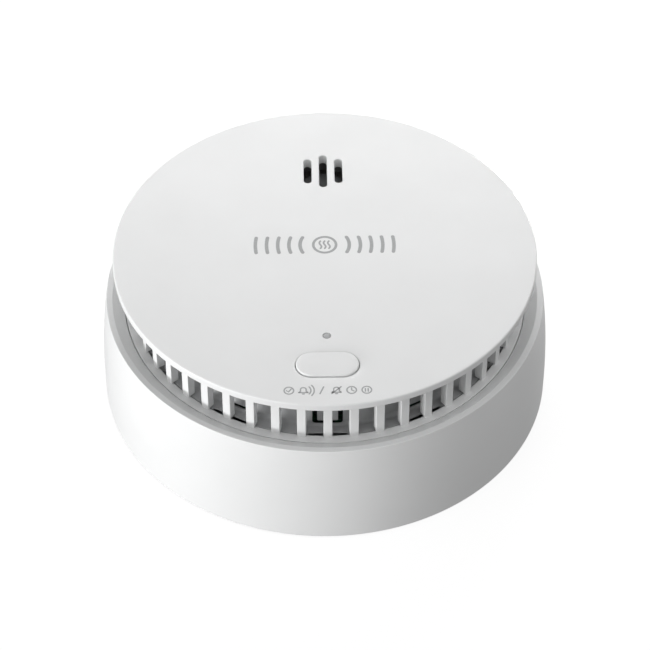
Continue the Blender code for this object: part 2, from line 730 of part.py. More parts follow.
def horn(pivot, plastic, brass, ceramic, foam, metal):
    centre = (0, HORN_Y, 0)
    inner = HORN_RADIUS - HORN_WALL
    floor = HORN_HEIGHTS[0] + 1.0
    seat = PIEZO_HEIGHTS[0] - GAP
    base = [
        (0, floor),
        (inner - 1.1, floor),
        (inner - 1.1, seat),
        (inner, seat),
        (inner, HORN_HEIGHTS[1]),
        (HORN_RADIUS, HORN_HEIGHTS[1]),
        (HORN_RADIUS, HORN_HEIGHTS[0]),
        (0, HORN_HEIGHTS[0]),
    ]
    holes = [post(0.8, HORN_HEIGHTS[0] - 1, floor + 1, place, 8) for place in HORN_CONTACTS]
    holes = moved(merged(holes), centre)
    part("horn_base", moved(turned(base, 32), centre), plastic, pivot, cut=[holes])

    low, high = HORN_CAP_HEIGHTS
    wall = [(HORN_RADIUS, high), (HORN_RADIUS, low), (HORN_MOUTH, low), (HORN_MOUTH, high)]
    plug = post(HORN_PLUG_RADIUS, *HORN_PLUG_HEIGHTS, centre, 24)
    spoke_low = (HORN_PLUG_RADIUS - 1, -HORN_SPOKE_WIDTH / 2, HORN_PLUG_HEIGHTS[0] + 0.2)
    spoke_high = (HORN_MOUTH + 1, HORN_SPOKE_WIDTH / 2, HORN_PLUG_HEIGHTS[1] - 0.2)
    spokes = moved(around(box(spoke_low, spoke_high), HORN_SPOKES), centre)
    cap = moved(turned(wall, 32, closed=True), centre)
    part("horn_cap", cap, plastic, pivot, join=[spokes, plug])

    inner, outer = GASKET_RADII
    low = high + GAP
    gasket = [(outer, GASKET_TOP), (outer, low), (inner, low), (inner, GASKET_TOP)]
    part("horn_gasket", moved(turned(gasket, 32, closed=True), centre), foam, pivot)
    part("piezo_disc", post(PIEZO_RADIUS, *PIEZO_HEIGHTS, centre, 32), brass, pivot)
    under = PIEZO_HEIGHTS[1] + 0.1
    part("piezo_ceramic", post(CERAMIC_RADIUS, under, under + 0.3, centre, 32), ceramic, pivot)
    for k, (x, y) in enumerate(HORN_CONTACTS):
        heights = (ON_BOARD, 26.5, 28.0, 29.2, PIEZO_HEIGHTS[0] - 0.2)
        bends = (0, 0, 0.5, 0.5, 0)
        route = [(x + bend, HORN_Y + y, height) for bend, height in zip(bends, heights)]
        part(f"horn_contact_{k + 1}", wire(route, 0.3), metal, pivot)


def board_components(pivot, chip, ferrite, can):
    part("microcontroller", box((-29.2, -9.0, ON_BOARD), (-25.3, 0.9, ON_BOARD + 1.5)), chip, pivot)
    core = [
        (0, 31.0),
        (4.2, 31.0),
        (4.2, 29.8),
        (3.4, 29.8),
        (3.4, 25.6),
        (4.2, 25.6),
        (4.2, ON_BOARD),
        (0, ON_BOARD),
    ]
    part("boost_inductor", moved(turned(core, 20), (26.0, -7.0, 0)), ferrite, pivot)
    part("storage_capacitor", post(3.2, ON_BOARD, 32.5, (27.5, 3.5), 20), can, pivot)


def test_switch(body_pivot, plunger_pivot, dark, button_white):
    half = SWITCH_SIZE / 2
    body = box((-half, SWITCH_Y - half, ON_BOARD), (half, SWITCH_Y + half, SWITCH_TOP))
    well = post(PLUNGER_RADIUS + GAP, PLUNGER_HEIGHTS[0] - 1.1, SWITCH_TOP + 1, (0, SWITCH_Y))
    part("test_switch_body", body, dark, body_pivot, cut=[well])
    plunger = post(PLUNGER_RADIUS, *PLUNGER_HEIGHTS, (0, SWITCH_Y))
    part("test_switch_plunger", plunger, button_white, plunger_pivot)


def test_button(pivot, finish):
    low, high = BUTTON_FLANGE
    centre = (0, BUTTON_Y)
    cap = prism(pill(BUTTON_LENGTH, BUTTON_WIDTH, 0, centre), high - 0.1, BUTTON_TOP)
    flange = prism(pill(BUTTON_LENGTH, BUTTON_WIDTH, BUTTON_FLANGE_EDGE, centre), low, high)
    stem = post(PLUNGER_RADIUS, PLUNGER_HEIGHTS[1] + GAP, low + 0.2, (0, SWITCH_Y))
    part("test_button", cap, finish, pivot, join=[flange, stem])


def button_spring(pivot, finish):
    low, high = SWITCH_TOP + GAP + 0.25, BUTTON_FLANGE[0] - GAP - 0.25
    count = BUTTON_SPRING_TURNS * 8
    route = []
    for k in range(count + 1):
        angle = 2 * math.pi * BUTTON_SPRING_TURNS * k / count
        x = BUTTON_SPRING_RADIUS * math.cos(angle)
        y = SWITCH_Y + BUTTON_SPRING_RADIUS * math.sin(angle)
        route.append((x, y, low + (high - low) * k / count))
    part("button_spring", wire(route, 0.25), finish, pivot)


def status_light(pivot, lens, clear):
    part("status_led", moved(lens_package(1.5, 4.3), (0, LIGHT_Y, ON_BOARD)), lens, pivot)
    shoulder = DISC_BOTTOM - GAP
    pipe = [
        (0, DISC_TOP),
        (LIGHT_RADIUS, DISC_TOP),
        (LIGHT_RADIUS, shoulder),
        (1.6, shoulder),
        (1.6, shoulder - 1.0),
        (LIGHT_RADIUS + 0.3, shoulder - 1.4),
        (LIGHT_RADIUS + 0.3, ON_BOARD + 4.7),
        (0, ON_BOARD + 4.7),
    ]
    part("light_pipe", moved(turned(pipe, SMALL_SIDES), (0, LIGHT_Y, 0)), clear, pivot)


def screws(pivot, steel):
    for k, (x, y) in enumerate(BOARD_SCREWS):
        mesh = moved(screw_mesh(2.2, 1.5, 1.0, BOARD_SCREW_LENGTH), (x, y, ON_BOARD))
        part(f"board_screw_{k + 1}", mesh, steel, pivot)
    for k, angle in enumerate(CASE_SCREW_ANGLES):
        mesh = rotated(screw_mesh(2.4, 1.9, 1.25, CASE_SCREW_LENGTH), 180, "X")
        place = ring_point(CASE_SCREW_RADIUS, angle, CASE_SCREW_SEAT - GAP)
        part(f"case_screw_{k + 1}", moved(mesh, place), steel, pivot)


def main():
    white = material("white_plastic", WHITE, 0.35)
    button_white = material("button_plastic", WHITE, 0.4)
    grey = material("grey_plastic", (0.35, 0.36, 0.37), 0.5)
    black = material("black_plastic", (0.03, 0.03, 0.03), 0.6)
    board = material("board_laminate", (0.03, 0.2, 0.08), 0.4)
    steel = material("plated_steel", (0.6, 0.6, 0.62), 0.3, 1.0)
    brass = material("brass", (0.75, 0.56, 0.25), 0.3, 1.0)
    ceramic = material("ceramic", (0.8, 0.78, 0.72), 0.5)
    foam = material("foam", (0.1, 0.1, 0.1), 0.9)
    chip = material("chip_resin", (0.02, 0.02, 0.02), 0.5)
    can = material("aluminium_can", (0.7, 0.7, 0.72), 0.3, 1.0)
    sleeve = material("cell_sleeve", (0.08, 0.08, 0.09), 0.3, 0.5)
    lens = material("clear_lens", (0.75, 0.78, 0.8), 0.1)
    dark_lens = material("dark_lens", (0.05, 0.02, 0.03), 0.1)

    bracket_pivot = pivot_at("bracket_frame", (0, 0, 0))
    alarm_pivot = pivot_at("alarm_twist_axis", (0, 0, 0))
    door_pivot = pivot_at("door_hinge_axis", (0, DOOR_HINGE_Y, DOOR_HINGE_Z))
    button_pivot = pivot_at("button_slide_axis", (0, BUTTON_Y, BUTTON_TOP))
    plunger_pivot = pivot_at("plunger_slide_axis", (0, SWITCH_Y, PLUNGER_HEIGHTS[1]))

    mounting_bracket(bracket_pivot, white)
    part(
        "rear_housing",
        turned(housing_profile(), ROUND_SIDES),
        white,
        alarm_pivot,
        join=housing_joins(),
        cut=housing_cuts(),
    )
    front_cover(alarm_pivot, white)
    battery_door(door_pivot, white)
    battery_cell("battery_cell_1", alarm_pivot, sleeve, -1)
    battery_cell("battery_cell_2", alarm_pivot, sleeve, 1)
    battery_parts(alarm_pivot, steel)
    circuit_board(alarm_pivot, board)
    retaining_ring(alarm_pivot, grey)
    smoke_chamber(alarm_pivot, black, steel, lens, dark_lens)
    horn(alarm_pivot, black, brass, ceramic, foam, steel)
    board_components(alarm_pivot, chip, grey, can)
    test_switch(alarm_pivot, plunger_pivot, black, button_white)
    test_button(button_pivot, button_white)
    button_spring(alarm_pivot, steel)
    status_light(alarm_pivot, lens, lens)
    screws(alarm_pivot, steel)


main()
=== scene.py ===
"""The looks of a round smoke alarm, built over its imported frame.

Sizes are in millimetres, and each mesh is scaled to metres as it is made.
The origin is the centre of the bracket's back face. +Z points out of the front face.
"""

import math

import bmesh
import bpy
from mathutils import Matrix, Vector


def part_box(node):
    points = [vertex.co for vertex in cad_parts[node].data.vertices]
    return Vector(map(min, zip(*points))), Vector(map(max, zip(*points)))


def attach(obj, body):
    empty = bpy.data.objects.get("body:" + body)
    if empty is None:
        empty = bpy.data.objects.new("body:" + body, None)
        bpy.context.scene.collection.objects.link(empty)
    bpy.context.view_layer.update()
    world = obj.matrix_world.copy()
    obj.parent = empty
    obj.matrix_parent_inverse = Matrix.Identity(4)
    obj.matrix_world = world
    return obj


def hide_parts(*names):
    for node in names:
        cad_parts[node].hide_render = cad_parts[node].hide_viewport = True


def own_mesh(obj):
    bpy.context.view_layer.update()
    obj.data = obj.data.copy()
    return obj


MM = 0.001
SIDES = 240
RING_SIDES = 192
CHAMBER_SIDES = 144
MIDDLE_SIDES = 96
SMALL_SIDES = 40
SHARP_ANGLE = math.radians(32)

# The side wall of the rear housing, its rim, and the channel inside the rim.
BODY_RADIUS = 51.0
WALL = 2.0
WALL_BACK = 0.1
WALL_STRAIGHT_TO = 3.0
WALL_TOP = 25.1
WALL_DRAW_IN = 1.43
WALL_CURVE_POWER = 2.2
WALL_STEPS = 24
RIM_OUTER = (49.42, 26.15)
RIM_INNER = (48.05, 26.1)
CHANNEL_FOOT = (45.38, 24.42)
CHANNEL_THICKNESS = 1.8
BACK_PLATE = (4.0, 5.6)

# The front cover: a flat disc carried on upright ribs above a sill.
DISC_RADIUS = 47.3
DISC_TOP = 38.4
DISC_BOTTOM = 36.6
VENT_COUNT = 48
RIB_WIDTH = 1.9
RIB_RADII = (41.6, 43.6)
SILL_INNER = (43.0, 24.3)
LEDGE_OUTER = (45.22, 24.5)
SKIRT_BOTTOM = 18.0
SLOT_CENTRE_Y = 26.6
SLOT_PITCH = 3.55
SLOT_WIDTH = 2.05
SLOT_LENGTHS = (8.4, 11.1, 8.4)
SLOT_PAD = (8.2, 36.0)
LIGHT_Y = -26.7
LIGHT_RADIUS = 0.85
BUTTON_Y = -35.3
BUTTON_SIZE = (13.5, 6.9)
BUTTON_TOP = 38.75
BUTTON_FLANGE = (35.3, 36.3)
BUTTON_GAP = 0.16
BUTTON_SPRING_RADIUS = 2.55
DISH_WIDTH = 2.2
DISH_DEPTH = 0.12

# The printed symbols on the face.
SYMBOL_Y = 1.8
SYMBOL_HALF_WIDTH = 15.9
SYMBOL_ARCS = 5
LABEL_Y = -42.9

# The bracket and the bayonet.
BRACKET_RADIUS = 47.6
BRACKET_HOLE = 35.0
BRACKET_TOP = 3.4
BRACKET_PLATE = 1.6
BRACKET_STEP = 44.2
RIM_UNDERSIDE = 1.9
LUG_ANGLES = (90.0, 210.0, 330.0)
LUG_WIDTH = 11.0
LUG_HEIGHTS = (0.7, 1.6)
UNLOCK_TURN = 15.0
STOP_ANGLE = 9.5
SCREW_SLOT_RADIUS = 39.6
SCREW_SLOT = (12.0, 4.4)

# The battery bay, its door and what is in it.
BAY_HALF = (15.0, 29.0)
BAY_INSIDE_TOP = 20.9
BAY_TOP = 22.1
BAY_WALL = 1.4
DOOR_TOP = 5.4
DOOR_HINGE = (26.9, 5.6)
DOOR_PIN_RADIUS = 0.6
CONTACT_TOP = 18.0
CELL_X = 7.4
CELL_HEIGHT = 13.6

# The circuit board and the ring round it.
BOARD_RADIUS = 37.9
BOARD_HEIGHTS = (22.4, 24.0)
BOARD_SCREWS = ((28.0, 14.0), (-28.0, 14.0), (-24.0, -22.0), (24.0, -22.0))
RING_RADII = (38.3, 39.4)
RING_TOP = 29.2
RING_FLANGE = 42.7
RING_FLANGE_HEIGHTS = (23.0, 24.1)
RING_NOTCH = (0.6, 4.2)
TONGUE_COUNT = 12
TONGUE_SLOT_HALF = 3.3
TONGUE_SLOT_FALL = 1.25
TONGUE_HALF = 2.25
TONGUE_HEIGHTS = (24.5, 25.2, 28.4)
RING_POST_AT = 41.1
CASE_SCREW_RADIUS = 42.3
COVER_BOSS_TOP = 20.8
CASE_SCREW_ANGLES = (30.0, 150.0, 270.0)

# The horn and the smoke chamber.
HORN_Y = 25.6
HORN_RADIUS = 11.5
CHAMBER_Y = -5.9
CHAMBER_RADIUS = 18.6
SENSOR_ANGLES = (200.0, 340.0)
SENSOR_HEIGHT = 29.0
SWITCH_Y = -33.9

# The studio: the strength of the light that comes evenly from all round.
SURROUND = 0.275

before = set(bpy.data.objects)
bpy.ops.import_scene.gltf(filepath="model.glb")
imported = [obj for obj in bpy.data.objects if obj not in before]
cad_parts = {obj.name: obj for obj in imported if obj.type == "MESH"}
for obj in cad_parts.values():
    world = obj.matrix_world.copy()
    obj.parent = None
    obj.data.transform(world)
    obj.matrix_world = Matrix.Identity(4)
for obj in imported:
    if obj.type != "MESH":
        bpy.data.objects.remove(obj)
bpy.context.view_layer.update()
helpers = bpy.data.collections.new("helpers")
bpy.context.scene.collection.children.link(helpers)


# Shapes


def arc(centre, radius, first, last, steps):
    """Points along an arc, between two angles in degrees."""
    angles = [math.radians(first + (last - first) * k / steps) for k in range(steps + 1)]
    return [(centre[0] + radius * math.cos(a), centre[1] + radius * math.sin(a)) for a in angles]


def ring_point(radius, degrees, height=0.0):
    angle = math.radians(degrees)
    return Vector((radius * math.cos(angle), radius * math.sin(angle), height))


def filleted(corners, steps=5):
    """A closed outline from (x, y, radius) corners, each rounded to its radius."""
    outline = []
    for k, (x, y, radius) in enumerate(corners):
        here = Vector((x, y))
        if radius == 0:
            outline.append((x, y))
            continue
        before = (Vector(corners[k - 1][:2]) - here).normalized()
        after = (Vector(corners[(k + 1) % len(corners)][:2]) - here).normalized()
        half = before.angle(after) / 2
        centre = here + (before + after).normalized() * radius / math.sin(half)
        start = here + before * radius / math.tan(half) - centre
        end = here + after * radius / math.tan(half) - centre
        outline += [tuple(centre + start.slerp(end, step / steps) * radius) for step in range(steps + 1)]
    return outline


def pill(length, width, grow=0.0, steps=14):
    """A slot's outline with round ends, long along X."""
    radius = width / 2 + grow
    reach = (length - width) / 2
    return arc((reach, 0), radius, -90, 90, steps) + arc((-reach, 0), radius, 90, 270, steps)


def rectangle(half_x, half_y, radius, grow=0.0):
    """A rectangle's outline with round corners, about the origin."""
    x, y, radius = half_x + grow, half_y + grow, radius + grow
    return filleted([(-x, -y, radius), (x, -y, radius), (x, y, radius), (-x, y, radius)])


def circle(radius, sides=SMALL_SIDES, centre=(0.0, 0.0)):
    return arc(centre, radius, 0, 360 * (sides - 1) / sides, sides - 1)


def finished(shape):
    """A mesh in metres from a bmesh in millimetres, with its faces turned outwards."""
    bmesh.ops.recalc_face_normals(shape, faces=shape.faces)
    bmesh.ops.scale(shape, vec=(MM, MM, MM), verts=shape.verts)
    mesh = bpy.data.meshes.new("shape")
    shape.to_mesh(mesh)
    shape.free()
    return mesh


def lathe(profile, sides=SIDES):
    """A closed profile of (radius, height) points, turned about Z."""
    shape = bmesh.new()
    columns = []
    for radius, height in profile:
        if radius < 1e-6:
            columns.append([shape.verts.new((0, 0, height))])
            continue
        turns = [2 * math.pi * k / sides for k in range(sides)]
        columns.append(
            [shape.verts.new((radius * math.cos(a), radius * math.sin(a), height)) for a in turns]
        )
    for first, second in zip(columns, columns[1:] + columns[:1]):
        for k in range(sides):
            near, far = [[column[step % len(column)] for step in (k, k + 1)] for column in (first, second)]
            corners = list(dict.fromkeys(near + far[::-1]))
            if len(corners) > 2:
                shape.faces.new(corners)
    return finished(shape)


def loft(loops):
    """A closed solid through loops of 3-D points, with a flat cap at each end."""
    shape = bmesh.new()
    rings = [[shape.verts.new(point) for point in loop] for loop in loops]
    for first, second in zip(rings, rings[1:]):
        for k in range(len(first)):
            n = (k + 1) % len(first)
            shape.faces.new((first[k], first[n], second[n], second[k]))
    shape.faces.new(rings[0][::-1])
    shape.faces.new(rings[-1])
    return finished(shape)


def stacked(outline_at, levels):
    """A closed solid through (growth, height) levels, from the outline for each growth."""
    return loft([[(*point, z) for point in outline_at(growth)] for growth, z in levels])


def prism(outline, low, high):
    """An outline in the XY plane, carried straight up from low to high."""
    return loft([[(*point, z) for point in outline] for z in (low, high)])


def turned(corners, steps=4, sides=MIDDLE_SIDES):
    """A solid turned about Z from (radius, height, rounding) corners."""
    return lathe(filleted(corners, steps), sides)


def inset(outline, distance):
    """The outline moved inwards by a distance, for an outline that runs anticlockwise."""
    moved_in = []
    count = len(outline)
    for k in range(count):
        here = Vector(outline[k])
        before = (here - Vector(outline[k - 1])).normalized()
        after = (Vector(outline[(k + 1) % count]) - here).normalized()
        normals = Vector((-before.y, before.x)), Vector((-after.y, after.x))
        middle = (normals[0] + normals[1]).normalized()
        moved_in.append(tuple(here + middle * distance / max(0.3, middle.dot(normals[1]))))
    return moved_in


def slab(outline, low, high, edge=0.0, steps=4, lower_edge=None):
    """An outline in the XY plane with thickness, its top and bottom edges rounded."""
    lower_edge = edge if lower_edge is None else lower_edge
    levels = []
    if lower_edge:
        turns = [math.pi / 2 * k / steps for k in range(steps)]
        levels += [(lower_edge * (1 - math.sin(t)), low + lower_edge * (1 - math.cos(t))) for t in turns]
    levels.append((0, low + lower_edge))
    levels.append((0, high - edge))
    if edge:
        turns = [math.pi / 2 * k / steps for k in range(1, steps + 1)]
        levels += [(edge * (1 - math.cos(t)), high - edge * (1 - math.sin(t))) for t in turns]
    return stacked(lambda by: inset(outline, by), levels)


def bored(outline_at, low, high, edge, far_edge=0.0):
    """A cutter from low to high whose hole keeps a rounded edge at high, and at low if far_edge is set."""
    turns = [math.radians(15 * k) for k in range(6)]

    def flare(face, size, side):
        levels = [(size * (1 - math.cos(t)), face - side * size * (1 - math.sin(t))) for t in turns]
        grow, height = levels[-1]
        return levels + [(grow + 1.1, height + side * 0.3 + side * (size * (1 - math.sin(turns[-1]))))]

    start = flare(low, far_edge, -1)[::-1] if far_edge else [(0, low)]
    return stacked(outline_at, start + flare(high, edge, 1))


def block(low, high, edge=0.2, steps=3):
    """A box with rounded edges."""
    shape = bmesh.new()
    bmesh.ops.create_cube(shape, size=1)
    low, high = Vector(low), Vector(high)
    bmesh.ops.scale(shape, vec=high - low, verts=shape.verts)
    bmesh.ops.translate(shape, vec=(high + low) / 2, verts=shape.verts)
    if edge:
        bmesh.ops.bevel(
            shape, geom=shape.edges[:], offset=edge, segments=steps, profile=0.5, affect="EDGES"
        )
    return finished(shape)


def rod(radius, low, high, edge=0.0, centre=(0.0, 0.0), sides=SMALL_SIDES):
    """An upright cylinder with rounded ends."""
    corners = [(0, high, 0), (radius, high, edge), (radius, low, edge), (0, low, 0)]
    return moved(turned(corners, 4, sides), (*centre, 0))


def tube(route, radius, sides=6):
    """A round wire along a route of points, with closed ends."""
    curve = bpy.data.curves.new("wire", "CURVE")
    curve.dimensions = "3D"
    curve.bevel_depth = radius * MM
    curve.bevel_resolution = sides
    curve.use_fill_caps = True
    spline = curve.splines.new("POLY")
    spline.points.add(len(route) - 1)
    for point, place in zip(spline.points, route):
        point.co = (*(Vector(place) * MM), 1)
    guide = bpy.data.objects.new("wire", curve)
    helpers.objects.link(guide)
    bpy.context.view_layer.update()
    mesh = bpy.data.meshes.new_from_object(guide.evaluated_get(bpy.context.evaluated_depsgraph_get()))
    bpy.data.objects.remove(guide)
    shape = bmesh.new()
    shape.from_mesh(mesh)
    bmesh.ops.remove_doubles(shape, verts=shape.verts, dist=1e-7)
    bmesh.ops.recalc_face_normals(shape, faces=shape.faces)
    shape.to_mesh(mesh)
    shape.free()
    mesh.materials.clear()
    return mesh


def smooth_route(points, per_span):
    """A smooth route through points, as a Catmull-Rom curve."""
    places = [Vector(p) for p in points]
    places = [2 * places[0] - places[1]] + places + [2 * places[-1] - places[-2]]
    route = []
    for before, start, end, after in zip(places, places[1:], places[2:], places[3:]):
        for k in range(per_span):
            t = k / per_span
            route.append(
                0.5
                * (
                    2 * start
                    + (end - before) * t
                    + (2 * before - 5 * start + 4 * end - after) * t**2
                    + (3 * start - before - 3 * end + after) * t**3
                )
            )
    return route + [places[-2]]


def cad_box(node):
    """The low and high corners of a CAD node's box, in millimetres."""
    return [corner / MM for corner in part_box(node)]


def case_screw_places():
    """Where the three case screws stand, as (x, y) points."""
    return [ring_point(CASE_SCREW_RADIUS, angle)[:2] for angle in CASE_SCREW_ANGLES]


def moved(mesh, offset):
    mesh.transform(Matrix.Translation(Vector(offset) * MM))
    return mesh


def rotated(mesh, degrees, axis):
    mesh.transform(Matrix.Rotation(math.radians(degrees), 4, axis))
    return mesh


def merged(meshes):
    """Several closed meshes as one, keeping the material number of each."""
    shape = bmesh.new()
    for mesh in meshes:
        shape.from_mesh(mesh)
    whole = bpy.data.meshes.new("shape")
    shape.to_mesh(whole)
    shape.free()
    return whole


def around(mesh, angles):
    """Copies of a mesh, turned about Z by each angle."""
    return merged([rotated(mesh.copy(), angle, "Z") for angle in angles])


def even_angles(count, first=0.0):
    return [first + 360 * k / count for k in range(count)]


def combined(mesh, join=(), cut=()):
    """The mesh after Boolean unions and cuts."""
    base = bpy.data.objects.new("base", mesh)
    helpers.objects.link(base)
    used = [base]
    for operation, shapes in (("UNION", join), ("DIFFERENCE", cut)):
        for shape in shapes:
            other = bpy.data.objects.new("other", shape)
            helpers.objects.link(other)
            boolean = base.modifiers.new(operation.lower(), "BOOLEAN")
            boolean.operation = operation
            boolean.solver = "EXACT"
            boolean.object = other
            used.append(other)
    bpy.context.view_layer.update()
    graph = bpy.context.evaluated_depsgraph_get()
    result = bpy.data.meshes.new_from_object(base.evaluated_get(graph))
    for obj in used:
        bpy.data.objects.remove(obj)
    return result


def numbered(mesh, index):
    """The mesh with every face set to one material number."""
    mesh.polygons.foreach_set("material_index", [index] * len(mesh.polygons))
    return mesh


# Materials


def add_node(tree, kind, inputs=(), **settings):
    node = tree.nodes.new(kind)
    for key, value in settings.items():
        setattr(node, key, value)
    for key, value in dict(inputs).items():
        node.inputs[key].default_value = value
    return node


def shader_of(name, roughness=0.5, metallic=0.0, **sockets):
    """A new material, its node tree, its shader, and object coordinates."""
    made = bpy.data.materials.new(name)
    made.use_nodes = True
    tree = made.node_tree
    shader = tree.nodes["Principled BSDF"]
    shader.inputs["Roughness"].default_value = roughness
    shader.inputs["Metallic"].default_value = metallic
    for key, value in sockets.items():
        shader.inputs[key.replace("_", " ")].default_value = value
    coordinates = add_node(tree, "ShaderNodeTexCoord").outputs["Object"]
    return made, tree, shader, coordinates


def noise(tree, coordinates, size, detail=3.0, stretch=None):
    """Noise with features of a size in millimetres, stretched along an axis if asked."""
    if stretch:
        mapping = add_node(tree, "ShaderNodeMapping", {"Scale": stretch})
        tree.links.new(coordinates, mapping.inputs["Vector"])
        coordinates = mapping.outputs["Vector"]
    texture = add_node(tree, "ShaderNodeTexNoise", {"Scale": 1 / (size * MM), "Detail": detail})
    tree.links.new(coordinates, texture.inputs["Vector"])
    return texture.outputs["Fac"]


def paint(tree, shader, fac, stops):
    """The base colour, from a ramp through (position, colour) stops."""
    node = add_node(tree, "ShaderNodeValToRGB")
    elements = node.color_ramp.elements
    while len(elements) < len(stops):
        elements.new(0.5)
    for element, (position, colour) in zip(elements, stops):
        element.position = position
        element.color = (*colour, 1.0)
    tree.links.new(fac, node.inputs["Fac"])
    tree.links.new(node.outputs["Color"], shader.inputs["Base Color"])


def polish(tree, shader, fac, low, high):
    """The roughness, from a noise value mapped to a range."""
    span = {"From Min": 0.3, "From Max": 0.7, "To Min": low, "To Max": high}
    node = add_node(tree, "ShaderNodeMapRange", span)
    tree.links.new(fac, node.inputs["Value"])
    tree.links.new(node.outputs["Result"], shader.inputs["Roughness"])


def tinted(colour, by):
    return tuple(min(1.0, max(0.0, channel * (1 + by))) for channel in colour)


def bump(tree, shader, height, depth, strength=0.5, under=None):
    """Bump of a depth in millimetres, over another bump if one is given."""
    node = add_node(tree, "ShaderNodeBump", {"Strength": strength, "Distance": depth * MM})
    tree.links.new(height, node.inputs["Height"])
    if under:
        tree.links.new(under, node.inputs["Normal"])
    tree.links.new(node.outputs["Normal"], shader.inputs["Normal"])
    return node.outputs["Normal"]


def moulded(name, colour, roughness, grain=0.22, depth=0.006, mottle=0.012, **sockets):
    """Moulded plastic: a fine spark-eroded grain, slight mottling and uneven gloss."""
    made, tree, shader, at = shader_of(name, roughness, **sockets)
    stops = [(0.3, tinted(colour, -mottle)), (0.7, tinted(colour, mottle))]
    paint(tree, shader, noise(tree, at, 14.0), stops)
    polish(tree, shader, noise(tree, at, 6.0, 4.0), roughness - 0.035, roughness + 0.035)
    wave = bump(tree, shader, noise(tree, at, 9.0, 1.0), 0.03, 0.35)
    bump(tree, shader, noise(tree, at, grain, 2.0), depth, 0.4, wave)
    return made


def metal(name, colour, roughness, stretch=(1, 1, 1), depth=0.004, stain=0.06):
    """Plated or drawn metal, with fine scratches along one direction and slight staining."""
    made, tree, shader, at = shader_of(name, roughness, 1.0)
    stops = [(0.25, tinted(colour, -stain * 2)), (0.5, colour), (0.8, tinted(colour, stain))]
    paint(tree, shader, noise(tree, at, 3.0, 5.0), stops)
    scratches = noise(tree, at, 0.12, 4.0, stretch)
    polish(tree, shader, scratches, roughness - 0.06, roughness + 0.1)
    bump(tree, shader, scratches, depth, 0.4)
    return made


def board_laminate():
    """Solder mask over copper tracks: bands that change direction from patch to patch."""
    made, tree, shader, at = shader_of("board_laminate", 0.35, Coat_Weight=0.4, Coat_Roughness=0.2)
    patches = add_node(tree, "ShaderNodeTexVoronoi", {"Scale": 150.0}, distance="CHEBYCHEV")
    tree.links.new(at, patches.inputs["Vector"])
    tracks = []
    for direction in ("X", "Y"):
        bands = {"Scale": 260.0, "Distortion": 0.0}
        wave = add_node(tree, "ShaderNodeTexWave", bands, bands_direction=direction)
        tree.links.new(at, wave.inputs["Vector"])
        tracks.append(wave.outputs["Fac"])
    chosen = add_node(tree, "ShaderNodeMix", data_type="FLOAT")
    pick = add_node(tree, "ShaderNodeMath", {1: 0.5}, operation="GREATER_THAN")
    tree.links.new(patches.outputs["Color"], pick.inputs[0])
    tree.links.new(pick.outputs[0], chosen.inputs["Factor"])
    tree.links.new(tracks[0], chosen.inputs["A"])
    tree.links.new(tracks[1], chosen.inputs["B"])
    stops = [(0.55, (0.004, 0.022, 0.011)), (0.75, (0.012, 0.06, 0.028))]
    paint(tree, shader, chosen.outputs["Result"], stops)
    polish(tree, shader, noise(tree, at, 2.0), 0.3, 0.42)
    lift = bump(tree, shader, chosen.outputs["Result"], 0.03, 0.5)
    bump(tree, shader, noise(tree, at, 0.3), 0.004, 0.4, lift)
    return made


def ink(name, colour):
    """Pad-printed ink, a little uneven where it covers the grain."""
    made, tree, shader, at = shader_of(name, 0.55)
    stops = [(0.25, tinted(colour, 0.12)), (0.6, colour)]
    paint(tree, shader, noise(tree, at, 0.35, 4.0), stops)
    polish(tree, shader, noise(tree, at, 1.2), 0.5, 0.62)
    bump(tree, shader, noise(tree, at, 0.12), 0.003, 0.4)
    return made


def foam():
    """Closed-cell foam: small pits all over, each darkened towards its bottom with painted shade."""
    made, tree, shader, at = shader_of("foam", 0.9)
    cells = add_node(tree, "ShaderNodeTexVoronoi", {"Scale": 1 / (0.3 * MM)})
    tree.links.new(at, cells.inputs["Vector"])
    # Painted shade: the colour is darker where the cell distance is small, at the bottoms of the pits the
    # bump makes.
    stops = [(0.0, (0.03, 0.03, 0.03)), (0.6, (0.1, 0.1, 0.1))]
    paint(tree, shader, cells.outputs["Distance"], stops)
    polish(tree, shader, noise(tree, at, 0.8), 0.85, 0.95)
    bump(tree, shader, cells.outputs["Distance"], 0.06, 0.8)
    return made


def lens(name, colour, transmission, roughness=0.08):
    """Moulded clear resin, with faint flow lines."""
    made, tree, shader, at = shader_of(name, roughness, Transmission_Weight=transmission, IOR=1.54)
    stops = [(0.3, tinted(colour, -0.05)), (0.7, tinted(colour, 0.05))]
    paint(tree, shader, noise(tree, at, 1.0), stops)
    polish(tree, shader, noise(tree, at, 0.7), roughness, roughness + 0.08)
    bump(tree, shader, noise(tree, at, 0.8, 2.0, (1, 1, 0.3)), 0.01, 0.3)
    return made


# Pieces


def add_piece(name, mesh, finishes, nodes=(), body="alarm"):
    """A visible piece that rides on a body and stands for CAD nodes."""
    finishes = finishes if isinstance(finishes, (list, tuple)) else [finishes]
    mesh.name = name
    mesh.materials.clear()
    for finish in finishes:
        mesh.materials.append(finish)
    mesh.shade_smooth()
    mesh.set_sharp_from_angle(angle=SHARP_ANGLE)
    obj = bpy.data.objects.new(name, mesh)
    bpy.context.scene.collection.objects.link(obj)
    weighted = obj.modifiers.new("weighted_normals", "WEIGHTED_NORMAL")
    weighted.keep_sharp = True
    weighted.weight = 80
    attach(obj, body)
    if nodes:
        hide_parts(*nodes)
    return obj


def wall_radius(height):
    """The outer radius of the side wall at a height."""
    share = max(0.0, height - WALL_STRAIGHT_TO) / (WALL_TOP - WALL_STRAIGHT_TO)
    return BODY_RADIUS - WALL_DRAW_IN * share**WALL_CURVE_POWER


